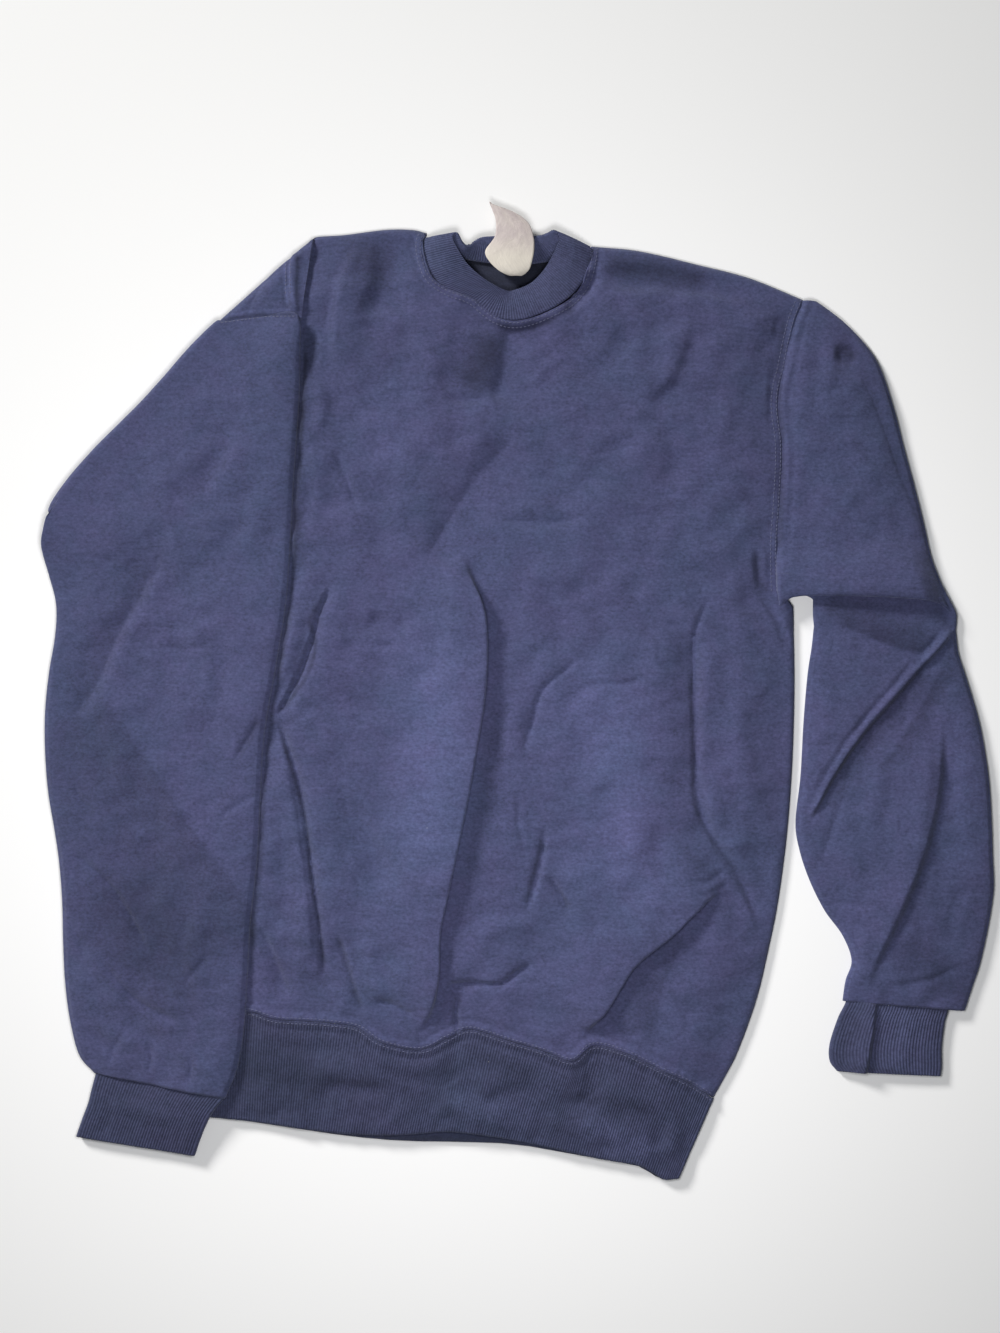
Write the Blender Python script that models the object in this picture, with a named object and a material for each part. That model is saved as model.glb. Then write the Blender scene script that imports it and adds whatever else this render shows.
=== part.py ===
"""Crewneck sweatshirt laid on a flat surface, one sleeve folded over the front.

Every sewn piece is a thin cloth wall of its own.  A wall is a grid of points on
the middle of the cloth, given half its thickness to each side.  X runs across
the garment, Y up to the neck and Z up off the surface.  The tables below are in
millimetres.  Left and right are as seen from above.
"""
import math

import bmesh
import bpy
import numpy as np

MM = 0.001
CENTRE_SHIFT = (0.14, 0.16)     # puts the origin under the middle of the whole outline

# Cloth
FLEECE = 1.8            # brushed-back fleece
RIB_CLOTH = 2.0         # doubled rib knit of the neckband, cuffs and waistband
LABEL_CLOTH = 1.0       # woven satin label, folded double
SEAM_GAP = 0.3          # between sewn pieces
LAYER_GAP = 0.5         # between layers that lie on each other
RIB_PITCH = 5.1         # three knitted ribs to each raised one
RIB_RISE = 0.35
RIB_MARGIN = 3          # points kept plain beside a tube's edge

# How the layers lie
FRONT_REST = 3.4        # middle of the front's cloth where it lies on the back
FRONT_LOFT = 2.6        # air under the middle of the front
EDGE_ROLL = 7.0         # width of the rolled side edges
EDGE_REST = 1.1         # middle of the front's cloth at its rolled edges
BACK_INSET = 5.4        # the back ends this far inside the front's rolled edges
TUBE_GAP = 2.8          # between the middles of a flat tube's two layers
FOLD_AXIS = 4.8         # height of the axis that the left sleeve folds about
FLAP_REST = 7.2         # middle of the back's cloth in the folded shoulder corner
CORNER_AXIS = 4.05      # height of the axis that the shoulder corner folds about

FRONT_WIDTH = 380.0     # of the front as it lies, gathered into its folds
FRONT_LENGTH = 560.0
EDGE_LINES = (0.0, 3.0, 8.0)    # grid lines close to a rolled edge
LOFT_EASE = 60.0        # how far in from its edges the front reaches its full loft
FOLD_EASE = 16.0        # how far in from its edges its folds reach their full height
FOLD_TAPER = 0.25       # share of a fold's path over which each end fades
CREASE_DEPTH = 0.6      # share of a sleeve's fullness that a crease may take away

# What the folded left sleeve lies on
BRIDGE_REACH = 7.0      # how far its cloth bridges past a fold in the front
BRIDGE_GAP = LAYER_GAP + 1.0
BODY_OVERLAP = 28.0     # from the body's edge to where the sleeve starts to sink off it
BODY_EASE = 32.0
UNDER_LENGTH = 150.0    # of the sleeve's part that lies under the fold
UNDER_EASE = 40.0
UNDER_END_EASE = 26.0

# Grid counts, and the shares of the front's columns where the neckline starts and ends
NECK_FROM = 0.40
NECK_TO = 0.70
FRONT_COLUMNS = 34
FRONT_ROWS = 37
SLEEVE_ACROSS = 7
CUFF_UNDERSIDE = 8
BAND_UNDERSIDE = 15
LABEL_ACROSS = 4
PATH_SAMPLES = 48
SPLINE_STEPS = 12       # between two given points of a curve
LINE_SAMPLES = 120      # on a smooth outline before it is divided evenly
FOLD_STEPS = 5          # rows round the half circle of a folded layer
TUBE_TURNS = (45.0, 0.0, -45.0)     # degrees round each edge of a flat tube
CREASE_ANGLE = 60.0     # edges sharper than this are shaded sharp

FLEECE_COLOUR = (0.068, 0.075, 0.150)
RIB_COLOUR = (0.060, 0.068, 0.132)
LABEL_COLOUR = (0.78, 0.73, 0.66)

# Outlines of the front, as seen from above, from the hem up.
LEFT_SIDE = [(-230.6, -241.1), (-227.6, -187.1), (-219.4, -112.1), (-206.6, -7.1), (-195.4, 67.9),
             (-188.6, 112.9), (-192.4, 142.9), (-204.4, 199.1), (-214.1, 270.4)]
RIGHT_SIDE = [(145.9, -304.9), (155.6, -287.6), (164.6, -269.6), (178.1, -232.1), (187.1, -194.6),
              (194.6, -157.1), (201.4, -104.6), (205.1, -52.1), (206.6, 0.4), (205.9, 37.9),
              (204.4, 56.6), (199.1, 63.4), (193.9, 73.9), (194.6, 107.6), (196.9, 142.1),
              (198.4, 181.9), (195.4, 210.4), (196.1, 225.4), (199.9, 240.4), (203.6, 259.1),
              (208.1, 277.1), (214.1, 292.1)]
LEFT_FOLD = [(-214.1, 270.4), (-184.9, 298.9), (-151.9, 331.1)]
LEFT_SHOULDER = [(-151.9, 331.1), (-146.6, 337.1), (-130.1, 340.9), (-100.1, 344.6), (-73.1, 340.1)]
NECKLINE = [(-73.1, 340.1), (-72.4, 325.1), (-65.6, 308.6), (-52.9, 298.9), (-34.1, 292.1),
            (-22.9, 282.4), (-11.6, 276.4), (2.6, 275.6), (19.9, 281.6), (36.4, 290.6), (46.9, 302.6),
            (52.1, 316.9), (54.4, 332.6)]
RIGHT_SHOULDER = [(54.4, 332.6), (91.1, 328.9), (136.1, 318.4), (173.6, 308.6), (214.1, 292.1)]
HEM_SEAM = [(-230.6, -241.1), (-201.4, -238.9), (-180.4, -244.9), (-146.6, -247.1), (-120.4, -250.9),
            (-102.4, -262.1), (-73.9, -268.1), (-53.6, -259.1), (-36.4, -252.4), (-10.1, -259.9),
            (19.9, -268.9), (40.1, -275.6), (55.1, -264.4), (79.1, -269.6), (100.9, -280.1),
            (128.6, -293.6), (145.9, -304.9)]

# Folds that stand up in the front, or sink where the height is negative.  "left" and
# "right" are how far the fold runs out to each side of its path, as one travels along it.
FRONT_FOLDS = [
    dict(name="centre channel", path=[(-16.1, 266.6), (-22.9, 244.1), (-28.9, 217.9), (-34.9, 187.9)],
         height=-3.4, left=24, right=30),
    dict(name="right chest rise", path=[(8.6, 266.6), (-2.6, 232.9), (-10.1, 195.4), (-36.4, 142.9)],
         height=4.6, left=60, right=12),
    dict(name="centre lobe", path=[(-36.4, 112.9), (-30.4, 86.6), (-22.9, 60.4), (-22.1, 7.9),
                                   (-30.4, -44.6), (-40.9, -97.1), (-52.9, -149.6), (-60.4, -194.6),
                                   (-66.4, -241.1), (-85.9, -263.6)],
         height=15.0, left=11, right=58),
    dict(name="left lobe", path=[(-133.9, 86.6), (-153.4, 60.4), (-154.9, 37.9), (-163.9, 7.9),
                                 (-178.9, -23.6), (-168.4, -67.1), (-159.4, -119.6), (-153.4, -164.6),
                                 (-147.4, -213.4)],
         height=6.5, left=34, right=12),
    dict(name="low left crease", path=[(-133.9, -168.4), (-126.4, -202.1), (-120.4, -245.6)],
         height=3.4, left=8, right=20),
    dict(name="hip arc", path=[(64.1, 30.4), (38.6, 16.9), (19.9, 1.9), (10.1, -20.6), (2.6, -52.1),
                               (2.6, -85.9)],
         height=5.0, left=10, right=30),
    dict(name="waist arc", path=[(101.6, 7.9), (68.6, -4.9), (49.9, -3.4), (40.9, -25.9),
                                 (37.1, -44.6)],
         height=4.0, left=9, right=24),
    dict(name="flank crease", path=[(137.6, 64.1), (130.1, 34.1), (133.9, 15.4), (130.1, -10.9),
                                    (124.1, -38.6)],
         height=4.0, left=26, right=9),
    dict(name="low flank crease", path=[(134.6, -55.9), (130.1, -82.1), (139.1, -106.1),
                                        (157.1, -130.9), (179.6, -175.9)],
         height=4.4, left=30, right=10),
    dict(name="hem step", path=[(164.6, -142.1), (139.1, -159.4), (122.6, -176.6), (98.6, -196.1),
                                (79.1, -221.6), (63.4, -241.1), (46.1, -266.6)],
         height=13.0, left=11, right=52),
    dict(name="low middle crease", path=[(19.9, -91.1), (16.9, -119.6), (9.4, -145.9), (-0.4, -172.1)],
         height=2.6, left=9, right=22),
    dict(name="left shoulder ridge", path=[(-121.9, 337.9), (-126.4, 300.4), (-131.6, 266.6),
                                           (-126.4, 229.1)],
         height=2.8, left=16, right=16),
    dict(name="armhole crease", path=[(178.1, 105.4), (181.1, 71.6), (190.1, 49.1), (200.6, 22.9)],
         height=2.6, left=6, right=16),
    dict(name="upper body dip", path=[(-124.9, 176.6), (-120.4, 154.1), (-115.9, 131.6)],
         height=-2.0, left=16, right=16),
    dict(name="waist dimple", path=[(-114.4, 54.4), (-100.1, 49.1), (-85.9, 42.4)],
         height=-2.4, left=18, right=18),
]

# Left sleeve, folded over: each row is a section from its underarm edge to its top edge.
LEFT_UNDER_ROWS = [
    dict(underarm=(-237.4, 120.4), top=(-200.6, 157.1)),
    dict(underarm=(-277.1, 123.4), top=(-208.9, 193.1)),
    dict(underarm=(-324.4, 126.4), top=(-217.1, 238.1)),
]
LEFT_FOLD_LINE = dict(underarm=(-351.4, 126.4), top=(-220.1, 272.6))
LEFT_FLAP_ROWS = [
    dict(underarm=(-355.9, 108.4), top=(-192.4, 275.6), puff=1.2),
    dict(underarm=(-350.6, 85.9), top=(-164.6, 277.1), puff=2.4),
    dict(underarm=(-346.1, 63.4), top=(-162.4, 246.4), puff=3.4),
    dict(underarm=(-346.9, 40.9), top=(-163.9, 205.9), puff=4.0),
    dict(underarm=(-351.4, 13.9), top=(-166.9, 163.9), puff=4.2),
    dict(underarm=(-354.4, -16.1), top=(-169.9, 115.9), puff=4.4),
    dict(underarm=(-354.4, -46.1), top=(-172.9, 67.9), puff=4.6),
    dict(underarm=(-352.1, -76.1), top=(-180.4, 19.1), puff=4.6),
    dict(underarm=(-347.6, -103.1), top=(-189.4, -33.4), puff=4.4),
    dict(underarm=(-343.9, -128.6), top=(-192.4, -82.1), puff=4.4),
    dict(underarm=(-341.6, -158.6), top=(-194.6, -127.1), puff=4.4),
    dict(underarm=(-340.9, -188.6), top=(-199.9, -175.9), puff=4.6),
    dict(underarm=(-339.4, -218.6), top=(-202.1, -217.1), puff=4.6),
    dict(underarm=(-335.6, -247.1), top=(-204.4, -250.9), puff=4.2),
    dict(underarm=(-328.9, -272.6), top=(-209.6, -281.6), puff=3.2),
    dict(underarm=(-317.6, -286.1), top=(-218.6, -304.1), puff=2.0),
]
LEFT_SLEEVE_FOLDS = [
    dict(name="elbow slope", path=[(-261.4, 97.9), (-291.4, 49.1), (-317.6, 7.9), (-334.9, -25.9)],
         height=-1.8, left=16, right=16),
    dict(name="forearm crease", path=[(-336.4, -119.6), (-298.9, -149.6), (-276.4, -179.6),
                                      (-246.4, -241.1)],
         height=1.6, left=18, right=14),
    dict(name="edge crease", path=[(-190.9, -25.9), (-204.4, -58.1), (-219.4, -91.1)],
         height=1.6, left=12, right=14),
]
LEFT_CUFF_ROWS = [
    dict(underarm=(-317.2, -287.6), top=(-219.4, -306.0), puff=1.0),
    dict(underarm=(-321.4, -305.6), top=(-230.6, -319.1), puff=1.4),
    dict(underarm=(-326.6, -320.6), top=(-236.6, -332.6), puff=1.4),
    dict(underarm=(-331.1, -333.4), top=(-241.9, -347.6), puff=1.0),
]

# Right sleeve, hanging beside the body and doubled under itself at the elbow.
UPPER_ARM_ROWS = [
    dict(inner=(215.6, 291.0), outer=(223.1, 290.6), puff=0.2),
    dict(inner=(212.6, 284.6), outer=(233.6, 283.9), puff=1.5),
    dict(inner=(208.9, 275.6), outer=(245.6, 274.1), puff=3.0),
    dict(inner=(205.1, 259.1), outer=(261.4, 256.9), puff=4.0),
    dict(inner=(201.4, 240.4), outer=(271.9, 238.9), puff=4.8),
    dict(inner=(197.2, 211.9), outer=(281.6, 209.6), puff=5.5),
    dict(inner=(200.2, 181.9), outer=(289.1, 180.4), puff=5.8),
    dict(inner=(198.8, 154.1), outer=(296.6, 152.6), puff=5.8),
    dict(inner=(197.2, 127.9), outer=(303.4, 125.6), puff=5.8),
    dict(inner=(196.1, 103.1), outer=(309.4, 99.4), puff=5.8),
    dict(inner=(198.4, 84.4), outer=(316.9, 81.4), puff=5.6),
]
ELBOW_FOLD = dict(inner=(205.9, 70.1), outer=(326.6, 58.9))
FOREARM_ROWS = [
    dict(inner=(220.1, 55.1), outer=(327.4, 48.4), puff=2.0),
    dict(inner=(218.6, 37.9), outer=(329.6, 31.9), puff=2.6),
    dict(inner=(216.4, 13.9), outer=(335.6, 10.1), puff=3.0),
    dict(inner=(213.4, -23.6), outer=(345.4, -25.1), puff=3.3),
    dict(inner=(211.1, -64.1), outer=(352.1, -64.9), puff=3.6),
    dict(inner=(207.4, -98.6), outer=(354.4, -100.1), puff=3.8),
    dict(inner=(210.4, -119.6), outer=(355.1, -124.1), puff=3.8),
    dict(inner=(217.9, -142.1), outer=(355.9, -146.6), puff=3.8),
    dict(inner=(229.1, -164.6), outer=(353.6, -166.1), puff=3.6),
    dict(inner=(242.6, -183.4), outer=(349.9, -185.6), puff=3.4),
    dict(inner=(249.4, -202.1), outer=(345.4, -205.1), puff=2.8),
    dict(inner=(244.9, -217.1), outer=(339.4, -223.1), puff=2.2),
    dict(inner=(242.6, -231.4), outer=(334.1, -238.9), puff=1.6),
]
# The upper arm's top layer ends in a step at the elbow fold: each row is how far past the
# fold line it lies and how high.
ELBOW_STEP_ROWS = [
    dict(past=-6.0, height=9.6),
    dict(past=-1.4, height=9.2),
    dict(past=0.2, height=8.0),
    dict(past=1.0, height=6.2),
    dict(past=2.4, height=4.9),
]
ELBOW_FULLNESS = 0.35   # how squarely the step rises from the sleeve's two edges
RIGHT_SLEEVE_FOLDS = [
    dict(name="underarm seam", path=[(324.4, 47.6), (289.9, 7.9), (247.1, -43.1), (215.6, -98.6)],
         height=1.8, left=6, right=8),
    dict(name="shoulder dimple", path=[(235.1, 250.1), (243.4, 249.4), (253.1, 247.9)],
         height=-2.6, left=12, right=12),
    dict(name="outer arm crease", path=[(254.6, 246.4), (268.1, 202.9), (284.6, 157.9), (297.4, 116.6)],
         height=-1.4, left=12, right=12),
    dict(name="forearm step", path=[(316.1, -18.4), (317.6, -70.9), (305.6, -119.6), (290.6, -160.9),
                                    (268.1, -208.1), (265.1, -229.1)],
         height=3.0, left=8, right=34),
    dict(name="wrist crease", path=[(275.6, -220.9), (304.9, -215.6), (335.6, -203.6)],
         height=1.4, left=10, right=8),
]
RIGHT_CUFF_ROWS = [
    dict(inner=(242.6, -233.2), outer=(333.8, -240.8), puff=1.4),
    dict(inner=(237.4, -251.6), outer=(320.6, -252.4), puff=1.8),
    dict(inner=(232.9, -269.6), outer=(316.9, -270.4), puff=1.6),
    dict(inner=(235.9, -283.1), outer=(316.9, -288.4), puff=1.0),
]

# Waistband: the front layer's top edge is the hem seam.
BAND_FRONT_EDGE = [(-232.1, -319.1), (-212.6, -320.6), (-181.9, -324.4), (-130.1, -331.1),
                   (-88.9, -331.9), (-51.4, -329.6), (-13.9, -334.1), (23.6, -341.6), (61.1, -349.9),
                   (91.1, -355.1), (107.6, -364.9), (120.4, -364.9)]
BAND_BACK_EDGE = [(-232.1, -319.1), (-212.6, -321.4), (-181.9, -325.9), (-130.1, -333.4),
                  (-88.9, -337.1), (-51.4, -337.9), (-6.4, -339.4), (23.6, -343.9), (61.1, -350.6),
                  (91.1, -355.9), (107.6, -365.6), (120.4, -364.9)]
BAND_ROWS = (0.0, 0.34, 0.68, 1.0)      # shares from the seam to the free edge
BAND_FULLNESS = 0.9     # how far the front layer stands off the back one
BAND_EASE = 1.6         # how fast it settles below the front's folds
BAND_SEAM_GAP = SEAM_GAP + 0.3
BAND_END = 20.0         # length over which the layers draw in for the turned cloth at each side
BAND_BACK_SEAM = [(-230.6, -242.6), (-163.9, -244.1), (-88.9, -254.6), (-13.9, -265.9),
                  (61.1, -284.6), (145.9, -306.4)]
BAND_WAVES = [
    dict(name="left wave", path=[(-163.9, -284.6), (-111.4, -279.4),
                                 (-66.4, -286.1)], height=2.2, left=16, right=22),
    dict(name="under the lobe", path=[(-107.6, -269.6), (-73.9, -275.6),
                                      (-47.6, -265.1)], height=3.4, left=12, right=12),
    dict(name="middle wave", path=[(-36.4, -298.1), (-13.9, -288.4),
                                   (8.6, -283.1)], height=2.4, left=20, right=16),
    dict(name="right wave", path=[(61.1, -283.1), (98.6, -298.1),
                                  (128.6, -313.1)], height=2.6, left=12, right=20),
    dict(name="low right wave", path=[(19.9, -314.6), (53.6, -325.9),
                                      (91.1, -333.4)], height=2.0, left=16, right=16),
]

# Neckband: stations round the neck from the front middle, by the right side and the back.
# "seam" and "edge" are the sewn and the free edge, with their heights.
NECK_STATIONS = [
    dict(seam=(-1.1, 277.9), seam_z=5.2, edge=(-5.6, 298.9), edge_z=8.6),
    dict(seam=(20.6, 284.6), seam_z=5.2, edge=(7.9, 304.9), edge_z=8.8),
    dict(seam=(37.9, 295.9), seam_z=5.2, edge=(18.4, 315.4), edge_z=9.2),
    dict(seam=(48.4, 309.4), seam_z=5.0, edge=(24.4, 324.4), edge_z=9.8),
    dict(seam=(52.1, 321.4), seam_z=5.2, edge=(28.1, 331.1), edge_z=11.6),
    dict(seam=(53.6, 328.9), seam_z=4.4, edge=(30.4, 339.4), edge_z=10.6),
    dict(seam=(49.1, 332.6), seam_z=3.2, edge=(25.9, 343.9), edge_z=7.4),
    dict(seam=(42.4, 328.9), seam_z=2.6, edge=(20.6, 340.9), edge_z=5.0),
    dict(seam=(31.1, 321.4), seam_z=1.2, edge=(14.6, 340.1), edge_z=3.0),
    dict(seam=(12.4, 314.6), seam_z=1.2, edge=(2.6, 340.1), edge_z=3.2),
    dict(seam=(-9.4, 313.1), seam_z=1.2, edge=(-13.9, 340.1), edge_z=3.2),
    dict(seam=(-30.4, 316.1), seam_z=1.2, edge=(-27.4, 338.6), edge_z=2.6),
    dict(seam=(-47.6, 322.9), seam_z=1.2, edge=(-37.1, 332.6), edge_z=2.2),
    dict(seam=(-59.6, 330.4), seam_z=2.6, edge=(-40.9, 334.9), edge_z=5.0),
    dict(seam=(-65.6, 334.9), seam_z=3.2, edge=(-45.4, 342.4), edge_z=7.4),
    dict(seam=(-70.1, 331.9), seam_z=4.4, edge=(-49.1, 339.4), edge_z=10.6),
    dict(seam=(-67.9, 322.9), seam_z=5.2, edge=(-43.9, 327.4), edge_z=11.4),
    dict(seam=(-62.6, 311.6), seam_z=5.0, edge=(-37.1, 319.9), edge_z=9.2),
    dict(seam=(-49.9, 301.1), seam_z=5.2, edge=(-25.9, 311.6), edge_z=8.8),
    dict(seam=(-31.1, 292.9), seam_z=5.2, edge=(-16.1, 304.1), edge_z=8.6),
    dict(seam=(-16.1, 280.9), seam_z=5.2, edge=(-10.9, 300.4), edge_z=8.6),
]
BACK_NECKLINE = [(59.6, 325.1), (46.1, 325.9), (32.6, 319.1), (12.4, 312.4), (-9.4, 310.9),
                 (-30.4, 313.9), (-47.6, 320.6), (-60.4, 325.9), (-73.9, 331.9)]

NECK_STEPS = 5          # points between two stations
NECK_TURN = 2.4         # the neckband is ribbed on top where its seam is higher than this
# Rows from the neckband's seam to its free edge, and how far each bows out.
NECK_ROWS = [
    dict(share=0.0, bow=0.0),
    dict(share=0.35, bow=0.9),
    dict(share=0.7, bow=0.9),
    dict(share=1.0, bow=0.0),
]

# Where the back's shoulder corner folds, and the corners of the part that lies on top.
CORNER_FOLD = dict(low=(-208.1, 280.1), high=(-162.4, 325.1))
CORNER_FLAP = dict(low=(-222.4, 278.6), high=(-154.9, 337.1), tip=(-162.4, 280.1))
# Rows from the fold to the flap's tip, and how far each hangs below FLAP_REST.
CORNER_ROWS = [
    dict(share=0.3, drop=-0.5),
    dict(share=0.6, drop=-0.6),
    dict(share=0.8, drop=-0.2),
    dict(share=0.93, drop=0.4),
]
CORNER_CLEAR = 0.2      # added to LAYER_GAP under the flap

# Size label: rows across it from the curl at its foot to its loose corner.
LABEL_ROWS = [
    dict(start=(-16.1, 321.4), end=(8.6, 325.9), height=5.2),
    dict(start=(-13.9, 315.4), end=(6.4, 316.9), height=6.4),
    dict(start=(-9.4, 312.4), end=(2.6, 312.4), height=8.2),
    dict(start=(-14.6, 317.6), end=(7.1, 318.4), height=10.4),
    dict(start=(-22.1, 328.9), end=(10.1, 330.4), height=10.4),
    dict(start=(-16.9, 340.1), end=(10.1, 340.9), height=8.0),
    dict(start=(-17.6, 351.4), end=(4.1, 351.4), height=5.2),
    dict(start=(-22.1, 365.2), end=(-16.1, 363.0), height=3.6),
]


def smooth_step(value):
    """Eases from 0 to 1."""
    value = np.clip(value, 0.0, 1.0)
    return value * value * (3.0 - 2.0 * value)


def spline(points, count):
    """Even points along a smooth curve through the given ones."""
    points = np.asarray(points, float)
    padded = np.vstack([2 * points[:1] - points[1:2], points, 2 * points[-1:] - points[-2:-1]])
    fine = []
    for i in range(1, len(padded) - 2):
        a, b, c, d = padded[i - 1:i + 3]
        for t in np.linspace(0.0, 1.0, SPLINE_STEPS, endpoint=False):
            fine.append(0.5 * (2 * b + (c - a) * t + (2 * a - 5 * b + 4 * c - d) * t ** 2
                               + (3 * b - a - 3 * c + d) * t ** 3))
    fine.append(padded[-2])
    fine = np.array(fine)
    return resample(fine, np.linspace(0.0, 1.0, count))


def loop_by_station(points, steps):
    """Points on a smooth closed curve, the same number between each two stations."""
    points = np.asarray(points, float)
    before, after, next_after = (np.roll(points, shift, axis=0) for shift in (1, -1, -2))
    rounds = []
    for t in np.linspace(0.0, 1.0, steps, endpoint=False):
        rounds.append(0.5 * (2 * points + (after - before) * t
                             + (2 * before - 5 * points + 4 * after - next_after) * t ** 2
                             + (3 * points - before - 3 * after + next_after) * t ** 3))
    return np.stack(rounds, axis=1).reshape(-1, points.shape[1])


def resample(line, shares):
    """Points at the given shares of a polyline's length."""
    steps = np.linalg.norm(np.diff(line, axis=0), axis=1)
    reach = np.concatenate([[0.0], np.cumsum(steps)])
    places = np.asarray(shares) * reach[-1]
    return np.stack([np.interp(places, reach, line[:, k]) for k in range(line.shape[1])], axis=-1)


def from_path(points, path):
    """Distance from a path, plus on its left and minus on its right, and share along it."""
    samples = spline(path, PATH_SAMPLES)
    away = points[:, None, :] - samples[None, :, :]
    nearest = np.argmin((away ** 2).sum(2), axis=1)
    step = np.gradient(samples, axis=0)[nearest]
    offset = away[np.arange(len(points)), nearest]
    distance = np.linalg.norm(offset, axis=1)
    side = np.sign(step[:, 0] * offset[:, 1] - step[:, 1] * offset[:, 0])
    return distance * side, nearest / (PATH_SAMPLES - 1.0)


def fold_heights(points, folds):
    """Sum of the folds' heights at points in plan."""
    total = np.zeros(len(points))
    for fold in folds:
        away, share = from_path(points, fold["path"])
        reach = np.where(away > 0.0, fold["left"], fold["right"])
        swell = 0.5 * (1.0 + np.cos(np.pi * np.clip(np.abs(away) / reach, 0.0, 1.0)))
        ends = smooth_step(share / FOLD_TAPER) * smooth_step((1.0 - share) / FOLD_TAPER)
        total += fold["height"] * swell * ends
    return total


def edge_roll(points):
    """Rises from 0 at the front's rolled edges round to 1, and how near those edges are."""
    left, _ = from_path(points, LEFT_SIDE)
    right, _ = from_path(points, RIGHT_SIDE + RIGHT_SHOULDER[-2::-1])
    shoulder, _ = from_path(points, LEFT_SHOULDER)
    near = np.minimum(np.minimum(np.abs(left), np.abs(shoulder)), np.abs(right))
    inward = np.clip(near / EDGE_ROLL, 0.0, 1.0)
    return np.sqrt(1.0 - (1.0 - inward) ** 2), near


def front_height(points):
    """Height of the middle of the front's cloth."""
    roll, near = edge_roll(points)
    loft = FRONT_LOFT * smooth_step(near / LOFT_EASE)
    folds = fold_heights(points, FRONT_FOLDS) * smooth_step(near / FOLD_EASE)
    return EDGE_REST + (FRONT_REST - EDGE_REST + np.maximum(loft + folds, 0.0)) * roll


def support_height(points):
    """Top of what the folded left sleeve lies on, eased so that its cloth bridges it."""
    away, _ = from_path(points, BAND_FRONT_EDGE[:1] + LEFT_SIDE)
    over_body = smooth_step((BODY_OVERLAP - away) / BODY_EASE)
    highest = front_height(points)
    for angle in np.arange(0.0, 2.0 * np.pi, np.pi / 4.0):
        shift = BRIDGE_REACH * np.array([np.cos(angle), np.sin(angle)])
        highest = np.maximum(highest, front_height(points + shift))
    body = over_body * (highest + FLEECE / 2.0 + BRIDGE_GAP)
    corner = np.array(LEFT_FOLD_LINE["top"])
    below_fold = (np.array([1.0, -1.0]) / math.sqrt(2.0) * (points - corner)).sum(1)
    under = (FOLD_AXIS + LAYER_GAP) * smooth_step((UNDER_LENGTH - below_fold) / UNDER_EASE)
    under *= smooth_step((points[:, 1] - LEFT_FLAP_ROWS[1]["underarm"][1]) / UNDER_END_EASE)
    return np.maximum(body, under)


def wall(name, middle, thickness, colour, closed=False, downward=False, ribs=None):
    """A closed cloth wall round a grid of points, with raised ribs on its outside if given.

    The grid's outside is above it where its rows go up the garment, and the tubes'
    rows go down it.
    """
    middle = np.asarray(middle, float)
    if closed:
        across = np.roll(middle, -1, axis=1) - np.roll(middle, 1, axis=1)
    else:
        across = np.gradient(middle, axis=1)
    along = np.gradient(middle, axis=0)
    normal = np.cross(across, along)
    normal /= np.linalg.norm(normal, axis=2, keepdims=True) * (-1.0 if downward else 1.0)
    rise = 0.0 if ribs is None else ribs[None, :, None]
    outer = middle + normal * (thickness / 2.0 + rise)
    inner = middle - normal * thickness / 2.0
    rows, columns = middle.shape[:2]
    mesh = bpy.data.meshes.new(name)
    shape = bmesh.new()
    skins = []
    for skin in (outer, inner):
        skins.append([[shape.verts.new(point * MM) for point in row] for row in skin])
    spans = columns if closed else columns - 1
    for i in range(rows - 1):
        for j in range(spans):
            k = (j + 1) % columns
            a, b = skins[0], skins[1]
            shape.faces.new((a[i][j], a[i][k], a[i + 1][k], a[i + 1][j]))
            shape.faces.new((b[i + 1][j], b[i + 1][k], b[i][k], b[i][j]))
    for i, turned in ((0, True), (rows - 1, False)):
        for j in range(spans):
            k = (j + 1) % columns
            rim = [skins[0][i][j], skins[0][i][k], skins[1][i][k], skins[1][i][j]]
            shape.faces.new(rim[::-1] if turned else rim)
    if not closed:
        for j, turned in ((0, False), (columns - 1, True)):
            for i in range(rows - 1):
                rim = [skins[0][i][j], skins[0][i + 1][j], skins[1][i + 1][j], skins[1][i][j]]
                shape.faces.new(rim[::-1] if turned else rim)
    return finish(name, mesh, shape, colour)


def finish(name, mesh, shape, colour):
    """Turns a bmesh into a named object with its own material and smooth shading."""
    shift = (CENTRE_SHIFT[0] * MM, CENTRE_SHIFT[1] * MM, 0.0)
    bmesh.ops.translate(shape, verts=shape.verts[:], vec=shift)
    bmesh.ops.triangulate(shape, faces=shape.faces[:])
    if shape.calc_volume(signed=True) < 0.0:
        bmesh.ops.reverse_faces(shape, faces=shape.faces[:])
    shape.to_mesh(mesh)
    shape.free()
    piece = bpy.data.objects.new(name, mesh)
    bpy.context.scene.collection.objects.link(piece)
    material = bpy.data.materials.new(name + "_cloth")
    material.use_nodes = True
    shader = material.node_tree.nodes["Principled BSDF"]
    shader.inputs["Base Color"].default_value = (*colour, 1.0)
    shader.inputs["Roughness"].default_value = 0.95
    shader.inputs["Metallic"].default_value = 0.0
    mesh.materials.append(material)
    mesh.shade_smooth()
    mesh.set_sharp_from_angle(angle=math.radians(CREASE_ANGLE))
    return piece


def with_height(points, heights):
    """Joins points in plan to their heights."""
    return np.concatenate([points, np.asarray(heights)[..., None]], axis=-1)


def edge_shares(count, length, both):
    """Shares for a panel's grid lines: even ones, with two close to each rolled edge."""
    near = np.array(EDGE_LINES) / length
    ends = [near, 1.0 - near[::-1]] if both else [np.zeros(1), 1.0 - near[::-1]]
    between = count + 1 - sum(len(end) for end in ends)
    middle = np.linspace(ends[0][-1], ends[1][0], between + 2)[1:-1]
    return np.concatenate([ends[0], middle, ends[1]])


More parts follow.
